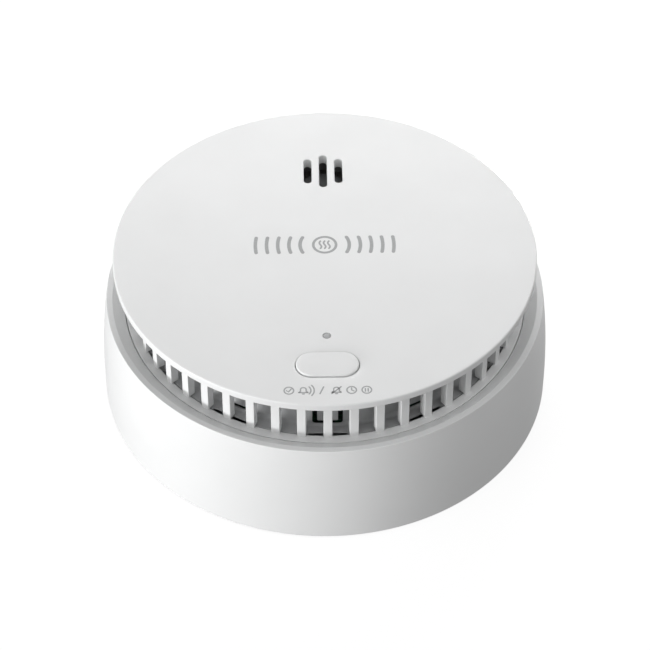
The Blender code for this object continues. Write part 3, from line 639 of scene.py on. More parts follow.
def housing_profile():
    """The rear housing's section, anticlockwise from the middle of its back plate."""
    low, high = BACK_PLATE
    under_rim = RIM_INNER[1] - CHANNEL_THICKNESS - 0.6
    levels = [WALL_STRAIGHT_TO + (WALL_TOP - WALL_STRAIGHT_TO) * k / WALL_STEPS for k in range(WALL_STEPS)]
    inner_levels = [level for level in levels if high + 1 < level < under_rim - 1][::3]
    corners = [(0, low, 0), (BODY_RADIUS - WALL, low, 0.3), (BODY_RADIUS - WALL, WALL_BACK, 0.4)]
    corners += [(BODY_RADIUS, WALL_BACK, 0.35)]
    corners += [(wall_radius(level), level, 0) for level in levels]
    corners += [(*RIM_OUTER, 0.15), (*RIM_INNER, 0.2), (*CHANNEL_FOOT, 0.12)]
    corners += [(CHANNEL_FOOT[0], CHANNEL_FOOT[1] - CHANNEL_THICKNESS, 0.1)]
    corners += [(wall_radius(under_rim) - WALL, under_rim, 0)]
    corners += [(wall_radius(level) - WALL, level, 0) for level in reversed(inner_levels)]
    corners += [(BODY_RADIUS - WALL, high, 0.5), (0, high, 0)]
    return filleted(corners, 7)


def housing_joins():
    """What stands on the back plate: the bay, the hinge blocks, the posts and the bayonet lugs."""
    root = BACK_PLATE[0] + 1.0
    half_x, half_y = BAY_HALF
    hinge_y, hinge_z = DOOR_HINGE
    bay = slab(rectangle(half_x + BAY_WALL, half_y + BAY_WALL, 1.2), root, BAY_TOP, 0.4, lower_edge=0)
    hinge_blocks = [
        block((x - 1.2, hinge_y - 2, root), (x + 1.2, hinge_y + 2, hinge_z + 2.4), 0.25)
        for x in (-17.2, 17.2)
    ]
    ring_post_top = RING_FLANGE_HEIGHTS[0] - 0.3
    posts = [rod(2.4, root, BAY_TOP, 0.25, place) for place in BOARD_SCREWS]
    for angle in LUG_ANGLES:
        posts.append(rod(1.2, root, ring_post_top, 0.2, ring_point(RING_POST_AT, angle)[:2]))
    posts += [rod(3.7, root, 10.1, 0.3, place) for place in case_screw_places()]
    half = LUG_WIDTH / 2
    lug = block((45.1, -half, LUG_HEIGHTS[0]), (BODY_RADIUS - 1.2, half, LUG_HEIGHTS[1]), 0.2)
    return [bay, merged(hinge_blocks), merged(posts), around(lug, LUG_ANGLES)]


def housing_cuts():
    """The bay's inside, its doorway with the latch and finger dips, the pin bore and the holes."""
    low, high = BACK_PLATE
    half_x, half_y = BAY_HALF
    inside = slab(rectangle(half_x, half_y, 0.8), low - 1, BAY_INSIDE_TOP, 0.5, lower_edge=0)

    def doorway_at(grow):
        return rectangle(half_x + 0.6, half_y + 0.4, 0.8, grow)

    doorway = moved(slab(doorway_at(0), low - 1, high + 0.1, lower_edge=0), (0, -0.2, 0))
    chamfer = moved(stacked(doorway_at, [(0.9, low - 0.55), (0.02, low + 0.33)]), (0, -0.2, 0))
    latch = slab(rectangle(3.9, 1.65, 0.5), low - 1, high + 0.1, lower_edge=0)
    latch = moved(latch, (0, -half_y - 1.95, 0))
    finger = stacked(lambda grow: pill(9.0, 3.6, grow), [(0.8, low - 0.3), (-0.2, low + 0.7)])
    finger = moved(finger, (0, -half_y - 4.6, 0))
    pin_bore = moved(rotated(rod(DOOR_PIN_RADIUS + 0.3, -17.6, 17.6), 90, "Y"), (0, *DOOR_HINGE))
    passages = contact_passages(BAY_INSIDE_TOP - 1, BAY_TOP + 1)
    holes = [rod(1.25, 13.0, BAY_TOP + 1, 0, place) for place in BOARD_SCREWS]
    seat = [(0, 11.1), (1.55, 11.1), (1.55, 7.5), (2.75, 7.5)]
    seat += [(2.75, low + 0.3), (3.35, low - 0.3), (0, low - 0.3)]
    holes += [moved(lathe(seat, SMALL_SIDES), (*place, 0)) for place in case_screw_places()]
    return [inside, doorway, chamfer, latch, finger, pin_bore, merged(passages), merged(holes)]


def contact_passages(low, high):
    """Cutters for the two battery contacts that come up to the circuit board."""
    return [block((-8.7, 28.1, low), (-6.1, 28.95, high), 0), rod(0.7, low, high, 0, (12.4, 28.2))]


def rear_housing(finish):
    mesh = combined(lathe(housing_profile()), join=housing_joins(), cut=housing_cuts())
    add_piece("housing_shell", mesh, finish, ["rear_housing"])


def rib_outline():
    """A rib's plan, rounded at its outer edges and drawn in slightly towards the middle."""
    inner, outer = RIB_RADII
    half = RIB_WIDTH / 2
    return filleted(
        [(inner, -half + 0.05, 0.2), (outer, -half, 0.1), (outer, half, 0.1), (inner, half - 0.05, 0.2)], 4
    )


def cover_openings():
    """The cutters for the sounder slots, the button and the light, each with a rounded edge."""
    openings = []
    for k, length in enumerate(SLOT_LENGTHS):
        slot = bored(lambda grow: pill(length, SLOT_WIDTH, grow - 0.12), SLOT_PAD[1] - 1, DISC_TOP, 0.22)
        openings.append(moved(rotated(slot, 90, "Z"), ((k - 1) * SLOT_PITCH, SLOT_CENTRE_Y, 0)))
    light = bored(lambda grow: circle(LIGHT_RADIUS + 0.06 + grow), 35.6, DISC_TOP, 0.08)
    openings.append(moved(light, (0, LIGHT_Y, 0)))
    lip = DISC_TOP - DISH_DEPTH
    levels = [(BUTTON_GAP, DISC_BOTTOM - 1), (BUTTON_GAP, lip - 0.25), (BUTTON_GAP + 0.07, lip - 0.08)]
    levels.append((BUTTON_GAP + 0.22, lip))
    steps = 10
    for k in range(1, steps + 1):
        share = 0.94 * k / steps
        levels.append((BUTTON_GAP + 0.22 + DISH_WIDTH * share, DISC_TOP - DISH_DEPTH * (1 - share) ** 2))
    levels.append((levels[-1][0] + 0.25, DISC_TOP + 0.3))
    button = stacked(lambda grow: pill(*BUTTON_SIZE, grow, 24), levels)
    openings.append(moved(button, (0, BUTTON_Y, 0)))
    return merged(openings)


def front_cover(finish):
    disc = [
        (0, DISC_BOTTOM, 0), (DISC_RADIUS - 2.5, DISC_BOTTOM, 0),
        (DISC_RADIUS, DISC_BOTTOM, 0.25), (DISC_RADIUS, DISC_TOP, 0.35),
        (DISC_RADIUS - 2.5, DISC_TOP, 0), (0, DISC_TOP, 0),
    ]
    sill = [
        (*LEDGE_OUTER, 0.12), (*SILL_INNER, 0.12), (SILL_INNER[0], SKIRT_BOTTOM, 0.2),
        (LEDGE_OUTER[0], SKIRT_BOTTOM, 0.2),
    ]
    level = SILL_INNER[1]
    foot = prism(rib_outline(), level + 0.3, DISC_BOTTOM + 0.4)
    outer = [(max(x, SILL_INNER[0] + 0.1), y) for x, y in rib_outline()]
    root = prism(outer, level - 0.6, level + 0.6)
    angles = even_angles(VENT_COUNT)
    pad = rod(SLOT_PAD[0], SLOT_PAD[1], DISC_BOTTOM + 0.2, 0.15, (0, HORN_Y), MIDDLE_SIDES)
    bosses = [rod(2.7, 10.4, COVER_BOSS_TOP, 0.2, place) for place in case_screw_places()]
    holes = [rod(1.5, 9, 19.5, 0, place) for place in case_screw_places()]
    ribs = [around(foot, angles), around(root, angles)]
    mesh = combined(
        turned(disc, 8, SIDES),
        join=ribs + [turned(sill, 4, SIDES), merged(bosses + [pad])],
        cut=[cover_openings(), merged(holes)],
    )
    add_piece("cover_shell", mesh, finish, ["front_cover"])


def test_button(finish):
    low, high = BUTTON_FLANGE
    edge = 0.32
    levels = [(0, high - 0.1), (0, BUTTON_TOP - edge - 0.05)]
    for k in range(1, 8):
        turn = math.radians(84 * k / 7)
        levels.append((-edge * (1 - math.cos(turn)), BUTTON_TOP - 0.05 - edge * (1 - math.sin(turn))))
    levels += [(-edge - 0.8, BUTTON_TOP - 0.02), (-edge - 2.2, BUTTON_TOP)]
    cap = stacked(lambda grow: pill(*BUTTON_SIZE, grow, 24), levels)
    flange = slab(pill(*BUTTON_SIZE, 0.9, 24), low, high, 0.2)
    stem = rod(1.6, 29.9, low + 0.2, 0.2, (0, SWITCH_Y - BUTTON_Y))
    mesh = combined(cap, join=[flange, stem])
    add_piece("button_cap", moved(mesh, (0, BUTTON_Y, 0)), finish, ["test_button"], "button")


def light_pipe(finish):
    low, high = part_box("light_pipe")
    base, top = low.z / MM, high.z / MM
    shoulder = DISC_BOTTOM - 0.3
    corners = [
        (0, top, 0), (LIGHT_RADIUS, top, 0.3), (LIGHT_RADIUS, shoulder, 0), (1.6, shoulder, 0.15),
        (1.6, shoulder - 1.0, 0.1), (LIGHT_RADIUS + 0.3, shoulder - 1.4, 0),
        (LIGHT_RADIUS + 0.3, base, 0.1), (0, base, 0),
    ]
    mesh = moved(turned(corners, 4, 48), (0, LIGHT_Y, 0))
    add_piece("light_pipe_fine", mesh, finish, ["light_pipe"])


def retaining_ring(finish):
    """The ring round the board, its snap tongues in U-shaped slots over notches in its flange."""
    inner, outer = RING_RADII
    low, high = RING_FLANGE_HEIGHTS
    corners = [
        (RING_FLANGE, high, 0.15), (outer, high, 1.0), (outer, RING_TOP, 0.25),
        (inner, RING_TOP, 0.25), (inner, 22.1, 0.1), (inner - 1.3, 22.1, 0.15),
        (inner - 1.3, 21.2, 0.15), (outer, 21.2, 0.2), (outer, low, 0.1), (RING_FLANGE, low, 0.15),
    ]
    wide, narrow = TONGUE_SLOT_HALF, TONGUE_HALF
    slot_low, slot_middle, slot_high = TONGUE_HEIGHTS
    outline = filleted(
        [
            (-wide, slot_high, 0.15), (-wide, slot_low, 0.6), (wide, slot_low, 0.6),
            (wide, slot_high, 0.15), (narrow, slot_high, 0.15), (narrow, slot_middle, 0.2),
            (-narrow, slot_middle, 0.2), (-narrow, slot_high, 0.15),
        ],
        4,
    )
    lower_corners_to = slot_low + 0.65
    falls = [(inner - 1, TONGUE_SLOT_FALL), (inner, TONGUE_SLOT_FALL), (outer, 0), (outer + 1, 0)]
    slot = loft(
        [
            [(radius, x, z - fall * (z < lower_corners_to)) for x, z in outline]
            for radius, fall in falls
        ]
    )
    depth, half = RING_NOTCH

    def notch_at(reach):
        near, far = RING_FLANGE - reach, RING_FLANGE + 1
        return [(near, -half), (far, -half), (far, half), (near, half)]

    notch = stacked(notch_at, [(depth + 1.4, low - 0.2), (depth, high), (depth, high + 1)])
    cuts = around(merged([slot, notch]), even_angles(TONGUE_COUNT))
    mesh = combined(turned(corners, 4, RING_SIDES), cut=[cuts])
    add_piece("ring_fine", mesh, finish, ["retaining_ring"])


def mounting_bracket(finish):
    """The ceiling bracket: bayonet notches and stops at its edge, screw slots through its plate."""
    corners = [
        (BRACKET_RADIUS, RIM_UNDERSIDE, 0.25), (BRACKET_RADIUS, BRACKET_TOP, 0.35),
        (BRACKET_STEP - 0.6, BRACKET_TOP, 0.3), (BRACKET_STEP - 1.2, BRACKET_PLATE, 0.4),
        (BRACKET_HOLE + 1.4, BRACKET_PLATE, 0.4), (BRACKET_HOLE + 1.2, BRACKET_TOP, 0.3),
        (BRACKET_HOLE, BRACKET_TOP, 0.3), (BRACKET_HOLE, 0, 0.35), (BRACKET_STEP, 0, 0.4),
        (BRACKET_STEP + 0.4, RIM_UNDERSIDE, 0.1),
    ]
    stop = block((BRACKET_STEP - 0.4, -0.8, 0.4), (BRACKET_RADIUS - 0.2, 0.8, RIM_UNDERSIDE + 0.4), 0.15)
    turns = (-STOP_ANGLE, UNLOCK_TURN + STOP_ANGLE)
    stops = around(stop, [angle + turn for angle in LUG_ANGLES for turn in turns])
    half = LUG_WIDTH / 2 + 1.0
    notch_plan = filleted(
        [
            (BRACKET_STEP + 0.7, -half, 0.5), (BRACKET_RADIUS + 1, -half, 0),
            (BRACKET_RADIUS + 1, half, 0), (BRACKET_STEP + 0.7, half, 0.5),
        ],
        4,
    )
    notch = prism(notch_plan, 1, BRACKET_TOP + 1)
    notches = around(notch, [angle + UNLOCK_TURN for angle in LUG_ANGLES])
    slot = bored(lambda grow: pill(*SCREW_SLOT, grow), 0, BRACKET_PLATE, 0.2, 0.5)
    slots = around(moved(rotated(slot, 90, "Z"), (SCREW_SLOT_RADIUS, 0, 0)), even_angles(4))
    mesh = combined(turned(corners, 5, SIDES), join=[stops], cut=[notches, slots, bracket_marks()])
    add_piece("bracket_fine", mesh, finish, ["mounting_bracket"], "bracket")


def bracket_marks():
    """Turn arrows sunk into the bracket's ceiling face."""
    depth = 0.3
    cutters = []
    for first in even_angles(4, 45.0):
        radius = SCREW_SLOT_RADIUS
        outer = arc((0, 0), radius + 0.45, first - 9, first + 6, 12)
        head = [ring_point(radius + 1.5, first + 6)[:2], ring_point(radius, first + 9.5)[:2]]
        head.append(ring_point(radius - 1.5, first + 6)[:2])
        inner = arc((0, 0), radius - 0.45, first + 6, first - 9, 12)
        outline = [tuple(p) for p in outer + head + inner]
        cutters.append(prism(outline, -0.3, depth))
    return merged(cutters)


def battery_door(finish):
    hinge_y, hinge_z = DOOR_HINGE
    free_end = -BAY_HALF[1] - 0.3
    wide_to = hinge_y - 0.9
    low = BACK_PLATE[0]
    plan = filleted(
        [
            (-15.3, free_end, 0.6), (-3.5, free_end, 0.3), (-3.5, free_end - 1.9, 0.6),
            (3.5, free_end - 1.9, 0.6), (3.5, free_end, 0.3), (15.3, free_end, 0.6),
            (15.3, wide_to, 0.5), (14.7, wide_to, 0.2), (14.7, hinge_y + 1.1, 0.5),
            (-14.7, hinge_y + 1.1, 0.5), (-14.7, wide_to, 0.2), (-15.3, wide_to, 0.5),
        ],
        4,
    )
    panel = slab(plan, low, DOOR_TOP, 0.15, lower_edge=0.15)
    ears = []
    pins = []
    for side in (-1, 1):
        x_low, x_high = sorted((side * 13.2, side * 14.7))
        foot = (x_low, hinge_y - 0.85, DOOR_TOP - 0.4)
        ears.append(block(foot, (x_high, hinge_y + 0.85, hinge_z + 0.8), 0.1))
        x_low, x_high = sorted((side * 14.0, side * 16.8))
        pin = rotated(rod(DOOR_PIN_RADIUS, x_low, x_high, 0.15), 90, "Y")
        pins.append(moved(pin, (0, hinge_y, hinge_z)))
    grooves = [
        block((-6, free_end + 3 + 1.6 * k, low - 1), (6, free_end + 3.8 + 1.6 * k, low + 0.35), 0.1)
        for k in range(4)
    ]
    mesh = combined(panel, join=[merged(ears), merged(pins)], cut=[merged(grooves + door_marks(low))])
    add_piece("door_fine", mesh, finish, ["battery_door"], "door")


def door_marks(low):
    """Two cell outlines with plus and minus signs, sunk into the door's outer face."""
    depth = 0.25

    def bar(x_low, x_high, y, half):
        return block((x_low, y - half, low - 1), (x_high, y + half, low + depth), 0)

    marks = []
    for side in (-1, 1):
        x, plus_y = side * CELL_X, side * 12.5
        outer = moved(slab(rectangle(5.2, 17.0, 1.4), low - 1, low + depth), (x, 0, 0))
        inner = moved(slab(rectangle(4.8, 16.6, 1.0), low - 2, low + 2), (x, 0, 0))
        marks.append(combined(outer, cut=[inner]))
        marks.append(bar(x - 1.6, x + 1.6, -plus_y, 0.25))
        marks.append(bar(x - 1.6, x - 0.25, plus_y, 0.25))
        marks.append(bar(x + 0.25, x + 1.6, plus_y, 0.25))
        marks.append(bar(x - 0.249, x + 0.249, plus_y, 1.6))
    return marks


def battery_cell(name, node, side, finishes):
    """A cell's steel can with its printed sleeve. Its nub is towards +Y for side -1."""
    low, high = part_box(node)
    length = (high.y - low.y) / MM
    radius = (high.x - low.x) / 2 / MM
    body = length - 1.3
    can = [
        (0, length, 0), (2.75, length, 0.4), (2.75, body + 0.1, 0.3),
        (radius - 0.9, body - 0.1, 0.2), (radius - 0.8, body, 0.2),
        (radius - 0.25, body - 0.3, 0.3), (radius - 0.15, 0.15, 0.4), (4.4, 0.1, 0.2),
        (4.0, 0.35, 0.2), (0, 0.35, 0),
    ]
    sleeve = filleted(
        [
            (radius - 1.3, body + 0.05, 0.1), (radius - 1.3, body - 0.05, 0),
            (radius - 0.1, body - 0.5, 0.4), (radius - 0.1, 0.5, 0.2), (radius - 0.9, 0.05, 0),
            (radius - 0.9, -0.02, 0.05), (radius, 0.0, 0.5), (radius, body + 0.05, 0.8),
        ],
        4,
    )
    sleeve = [(x, max(0.0, z)) for x, z in sleeve]
    mesh = merged([numbered(turned(can), 0), numbered(lathe(sleeve, MIDDLE_SIDES), 1)])
    mesh = rotated(mesh, 90 * side, "X")
    centre = (low + high) / 2 / MM
    start = (low.y if side < 0 else high.y) / MM
    add_piece(name, moved(mesh, (centre.x, start, centre.z)), finishes, [node])


def sleeve_film():
    """A shrink sleeve: a dark film with one pale band, and faint wrinkles across it."""
    made, tree, shader, at = shader_of("cell_sleeve", 0.3, Coat_Weight=0.5, Coat_Roughness=0.15)
    place = add_node(tree, "ShaderNodeSeparateXYZ")
    tree.links.new(at, place.inputs["Vector"])
    spans = add_node(tree, "ShaderNodeMath", {1: 0.0}, operation="ABSOLUTE")
    tree.links.new(place.outputs["Y"], spans.inputs[0])
    edge = add_node(tree, "ShaderNodeMapRange", {"From Min": 0.0125, "From Max": 0.0127})
    tree.links.new(spans.outputs[0], edge.inputs["Value"])
    stops = [(0.0, (0.035, 0.045, 0.06)), (1.0, (0.32, 0.34, 0.36))]
    paint(tree, shader, edge.outputs["Result"], stops)
    polish(tree, shader, noise(tree, at, 3.0), 0.24, 0.36)
    bump(tree, shader, noise(tree, at, 2.5, 3.0, (1, 0.25, 1)), 0.03, 0.4)
    return made


def contact_plate(name, node, finish):
    """A pressed contact with eased edges."""
    low, high = cad_box(node)
    centre = (low + high) / 2
    top = min(high.z, CONTACT_TOP)
    outline = rectangle((high.x - low.x) / 2, (top - low.z) / 2, 0.8)
    plate = slab(outline, -0.2, 0.2, 0.08)
    mesh = moved(rotated(plate, 90, "X"), (centre.x, centre.y, (low.z + top) / 2))
    if high.z > CONTACT_TOP:
        mesh = combined(mesh, join=[block((-8.4, low.y, top - 1.0), (-6.4, high.y, high.z), 0.08)])
    add_piece(name, mesh, finish, [node])


def cell_spring(name, node, finish, wide_end, narrow_end, side, tail_top=None):
    """A conical contact spring along Y, with a tail up to the board where it has one."""
    turns, per_turn = 3.5, 28
    count = int(turns * per_turn)
    route = []
    for k in range(count + 1):
        share = k / count
        radius = 5.0 - 2.2 * share
        angle = 2 * math.pi * turns * share
        y = wide_end + (narrow_end - wide_end) * share
        x, z = side * CELL_X + radius * math.cos(angle), CELL_HEIGHT + radius * math.sin(angle)
        route.append((x, y, z))
    if tail_top:
        x, y, _ = route[0]
        route = [(x, y, tail_top), (x, y, 18.0), (x, y, 15.0)] + route
    add_piece(name, tube(route, 0.4), finish, [node])


def coil_spring(finish):
    low, high = cad_box("button_spring")
    bottom, top = low.z + 0.27, high.z - 0.27
    turns, per_turn = 5, 32
    route = []
    for k in range(turns * per_turn + 1):
        share = k / (turns * per_turn)
        ease = min(1.0, max(0.0, (share - 0.12) / 0.76))
        angle = 2 * math.pi * turns * share
        x, y = BUTTON_SPRING_RADIUS * math.cos(angle), BUTTON_SPRING_RADIUS * math.sin(angle)
        route.append((x, SWITCH_Y + y, bottom + (top - bottom) * ease))
    obj = add_piece("spring_fine", tube(route, 0.25), finish, ["button_spring"])
    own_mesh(obj)


def pan_screw(name, node, finish, upward):
    """A pan head screw with a cross recess and a rolled thread."""
    low, high = cad_box(node)
    centre = (low + high) / 2
    head_radius = (high.x - low.x) / 2
    length = high.z - low.z
    head = 1.9 if upward else 1.5
    shank = 1.25 if upward else 1.0
    profile = [(0, head)] + arc((0, head - head_radius * 1.35), head_radius * 1.35, 90, 52, 5)[1:]
    profile = [(x, max(z, head * 0.5)) for x, z in profile if x < head_radius]
    profile += [(head_radius, head * 0.45), (head_radius, 0.12), (head_radius - 0.12, 0), (shank, 0)]
    depth = length - head - shank
    pitch = 0.8
    core = shank * 0.78
    for k in range(int(depth / pitch)):
        z = -k * pitch
        profile += [(shank, z - 0.25), (core, z - 0.35), (core, z - 0.65), (shank, z - 0.75)]
    profile += [(core, -depth), (0.1, head - length + 0.05), (0, head - length)]
    profile = profile[:1] + [point for last, point in zip(profile, profile[1:]) if point != last]
    body = lathe(profile[::-1], SMALL_SIDES)
    wide, thin = head_radius * 0.62, 0.26
    recess = []
    for turn in (0, 90):
        levels = ((0.25, -0.1), (wide, head * 0.95), (wide + 0.2, head + 0.4))
        blade = stacked(lambda reach: rectangle(reach, thin, 0.05), levels)
        recess.append(rotated(blade, turn, "Z"))
    mesh = combined(body, cut=recess)
    if upward:
        mesh = rotated(mesh, 180, "X")
        place = (centre.x, centre.y, low.z + head)
    else:
        place = (centre.x, centre.y, high.z - head)
    add_piece(name, moved(mesh, place), finish, [node])


def circuit_board(finishes):
    low, high = BOARD_HEIGHTS
    edge = 0.12
    rim = [(0, low, 0), (BOARD_RADIUS, low, edge), (BOARD_RADIUS, high, edge), (0, high, 0)]
    holes = [rod(1.4, low - 1, high + 1, 0, place) for place in BOARD_SCREWS]
    holes += contact_passages(low - 1, high + 1)
    board = numbered(combined(turned(rim, 2, RING_SIDES), cut=[merged(holes)]), 0)
    pads = []
    for x, y in BOARD_SCREWS:
        ring = [(1.7, high - 0.05), (2.6, high - 0.05), (2.6, high + 0.03), (1.7, high + 0.03)]
        pads.append(moved(lathe(ring, SMALL_SIDES), (x, y, 0)))
    mesh = merged([board, numbered(merged(pads), 1)])
    add_piece("board_fine", mesh, finishes, ["circuit_board"])


def small_parts(chip, tin):
    """Surface-mounted resistors and capacitors, each with two tinned ends."""
    high = BOARD_HEIGHTS[1] + 0.02
    spots = [(-18.0 + 3.2 * k, -27.5 - 0.5 * (k % 2), 0) for k in range(5)]
    spots += [(22.0 + 2.6 * (k % 3), -13.0 - 2.8 * (k // 3), 90) for k in range(6)]
    spots += [(-26.0 + 2.8 * (k % 3), 5.0 + 2.6 * (k // 3), 0) for k in range(6)]
    spots += [(5.5 + 3.0 * k, -29.5, 90) for k in range(4)]
    meshes = []
    for x, y, turn in spots:
        middle = numbered(block((-0.6, -0.5, high), (0.6, 0.5, high + 0.5), 0.05, 1), 0)
        end = numbered(block((0.61, -0.52, high), (0.95, 0.52, high + 0.52), 0.06, 2), 1)
        meshes.append(moved(rotated(merged([middle, around(end, (0, 180))]), turn, "Z"), (x, y, 0)))
    add_piece("board_small_parts", merged(meshes), [chip, tin])


def microcontroller(chip, tin):
    low, high = cad_box("microcontroller")
    body = numbered(block((low.x + 0.6, low.y, low.z + 0.1), (high.x - 0.6, high.y, high.z), 0.12), 0)
    legs = []
    for k in range(7):
        y = low.y + 0.85 + 1.36 * k
        for side, x in ((-1, low.x), (1, high.x)):
            route = [(-0.65, 0.75), (-0.25, 0.75), (-0.15, 0.12), (0.0, 0.12)]
            points = [(x + side * dx, y, low.z + dz) for dx, dz in route]
            legs.append(numbered(tube(points, 0.11, 2), 1))
    mesh = merged([body] + legs)
    add_piece("microcontroller_fine", mesh, [chip, tin], ["microcontroller"])


def boost_inductor(ferrite, copper):
    low, high = cad_box("boost_inductor")
    centre = (low + high) / 2
    radius = (high.x - low.x) / 2
    flange = 1.2
    core = [
        (0, low.z, 0), (radius, low.z, 0.2), (radius, low.z + flange, 0.15),
        (radius - 1.5, low.z + flange, 0), (radius - 1.5, high.z - flange, 0),
        (radius, high.z - flange, 0.15), (radius, high.z, 0.25), (0, high.z, 0),
    ]
    meshes = [numbered(turned(core), 0)]
    wire = 0.28
    rows = int((high.z - low.z - 2 * flange) / (2 * wire))
    for k in range(rows):
        ring = circle(wire, 10, (radius - 1.15 + 0.05 * (k % 2), low.z + flange + wire + 2 * wire * k))
        meshes.append(numbered(lathe(ring, MIDDLE_SIDES), 1))
    mesh = moved(merged(meshes), (centre.x, centre.y, 0))
    add_piece("inductor_fine", mesh, [ferrite, copper], ["boost_inductor"])


def storage_capacitor(sleeve, can):
    low, high = cad_box("storage_capacitor")
    centre = (low + high) / 2
    radius = (high.x - low.x) / 2
    body = [
        (0, low.z + 0.3, 0), (radius - 0.5, low.z, 0.2), (radius - 0.05, low.z + 0.2, 0.3),
        (radius - 0.05, low.z + 1.4, 0.2), (radius - 0.4, low.z + 1.7, 0.2),
        (radius - 0.05, low.z + 2.0, 0.2), (radius - 0.05, high.z, 0.5), (0, high.z, 0),
    ]
    vent = block((-1.8, -0.09, high.z - 0.15), (1.8, 0.09, high.z + 1), 0)
    vents = [rotated(vent.copy(), turn, "Z") for turn in (0, 60, 120)]
    top = numbered(combined(turned(body), cut=vents), 0)
    film = [
        (radius - 0.04, low.z + 2.1, 0), (radius, low.z + 2.1, 0), (radius, high.z - 0.25, 0.2),
        (radius - 0.7, high.z, 0), (radius - 0.7, high.z - 0.01, 0),
        (radius - 0.04, high.z - 0.5, 0.1),
    ]
    mesh = merged([top, numbered(turned(film, 3), 1)])
    mesh = moved(mesh, (centre.x, centre.y, 0))
    add_piece("capacitor_fine", mesh, [can, sleeve], ["storage_capacitor"])


def test_switch(black, tin, white):
    low, high = cad_box("test_switch_body")
    centre = (low + high) / 2
    body = block((low.x + 0.1, low.y + 0.1, low.z), (high.x - 0.1, high.y - 0.1, high.z - 0.35), 0.25)
    plate = block((low.x + 0.2, low.y + 0.2, high.z - 0.3), (high.x - 0.2, high.y - 0.2, high.z), 0.1)
    well = rod(1.9, 25.9, high.z + 1, 0, (centre.x, centre.y))
    body = numbered(combined(body, cut=[well]), 0)
    plate = numbered(combined(plate, cut=[well.copy()]), 1)
    add_piece("switch_fine", merged([body, plate]), [black, tin], ["test_switch_body"])

    low, high = cad_box("test_switch_plunger")
    plunger = rod(1.6, low.z, high.z, 0.3, (centre.x, centre.y))
    add_piece("plunger_fine", plunger, white, ["test_switch_plunger"], "switch_plunger")


def lens_package(length, radius=1.5):
    """A round-nosed diode package along +Z, with a flat on its flange."""
    nose = arc((0, length - radius), radius, 0, 90, 10)
    profile = [(0, 0), (radius + 0.2, 0), (radius + 0.2, 0.8), (radius, 0.85)] + nose
    profile[-1] = (0, length)
    mesh = lathe(profile, SMALL_SIDES)
    flat = block((radius + 0.02, -3, -1), (radius + 1, 3, 0.83), 0)
    return combined(mesh, cut=[flat])


def diodes(clear, dark, pale):
    low, _ = cad_box("status_led")
    led = moved(lens_package(4.3), (0, LIGHT_Y, low.z))
    add_piece("led_fine", led, pale, ["status_led"])
    for node, angle, finish, slot in (
        ("infrared_emitter", SENSOR_ANGLES[0], clear, "clear_lens"),
        ("photodiode", SENSOR_ANGLES[1], dark, "dark_lens"),
    ):
        mesh = moved(rotated(lens_package(5.0), -90, "Y"), (11.2, 0, SENSOR_HEIGHT))
        mesh = moved(rotated(mesh, angle, "Z"), (0, CHAMBER_Y, 0))
        add_piece(node + "_fine", mesh, finish, [node])


def chamber_base(finish):
    profile = [
        (0, 24.3, 0), (CHAMBER_RADIUS, 24.3, 0.2), (CHAMBER_RADIUS, 26.4, 0.3),
        (CHAMBER_RADIUS - 1.6, 26.4, 0.3), (CHAMBER_RADIUS - 1.6, 25.6, 0.2), (0, 25.6, 0),
    ]
    holder = block((5.5, -2.5, 25.1), (11.3, 2.5, 31.5), 0.35)
    bore = moved(rotated(rod(2.0, 4.0, 13.0), 90, "Y"), (0, 0, SENSOR_HEIGHT))
    joins, cuts = [around(holder, SENSOR_ANGLES)], [around(bore, SENSOR_ANGLES)]
    mesh = combined(turned(profile, 4, CHAMBER_SIDES), join=joins, cut=cuts)
    add_piece("chamber_base_fine", moved(mesh, (0, CHAMBER_Y, 0)), finish, ["chamber_base"])


def labyrinth_cover(finish):
    """A lid over a ring of bent vanes that keep light out and let smoke in."""
    lid = [(0, 34.2, 0), (CHAMBER_RADIUS, 34.2, 0.2), (CHAMBER_RADIUS, 35.4, 0.35), (0, 35.4, 0)]
    outline = []
    vane_points = ((16.4, 0), (14.6, 9.0), (12.8, 0))
    for points, edge in ((vane_points, -1.6), (vane_points[::-1], 1.6)):
        for radius, bend in points:
            outline.append((*ring_point(radius, bend + edge)[:2], 0.15))
    vane = prism(filleted(outline[::-1], 3), 26.0, 34.5)
    mesh = combined(turned(lid, 4, CHAMBER_SIDES), join=[around(vane, even_angles(18))])
    add_piece("labyrinth_fine", moved(mesh, (0, CHAMBER_Y, 0)), finish, ["labyrinth_cover"])


def insect_screen(finish):
    """A rolled band of wire mesh: crossing wires between two plain hems."""
    radius = 18.02
    low, high = 26.7, 33.9
    meshes = []
    near, far = radius - 0.17, radius + 0.17
    for z in (low + 0.4, high - 0.4):
        hem = [(near, z - 0.4, 0.1), (far, z - 0.4, 0.1), (far, z + 0.4, 0.1), (near, z + 0.4, 0.1)]
        meshes.append(turned(hem, 2, CHAMBER_SIDES))
    rows = 6
    for k in range(rows):
        z = low + 1.6 + (high - low - 3.2) * k / (rows - 1)
        meshes.append(lathe(circle(0.1, 6, (radius + 0.05, z)), CHAMBER_SIDES))
    upright = rod(0.1, low + 0.3, high - 0.3, 0, (radius - 0.06, 0), 6)
    meshes.append(around(upright, even_angles(108)))
    mesh = moved(merged(meshes), (0, CHAMBER_Y, 0))
    add_piece("screen_fine", mesh, finish, ["insect_screen"])


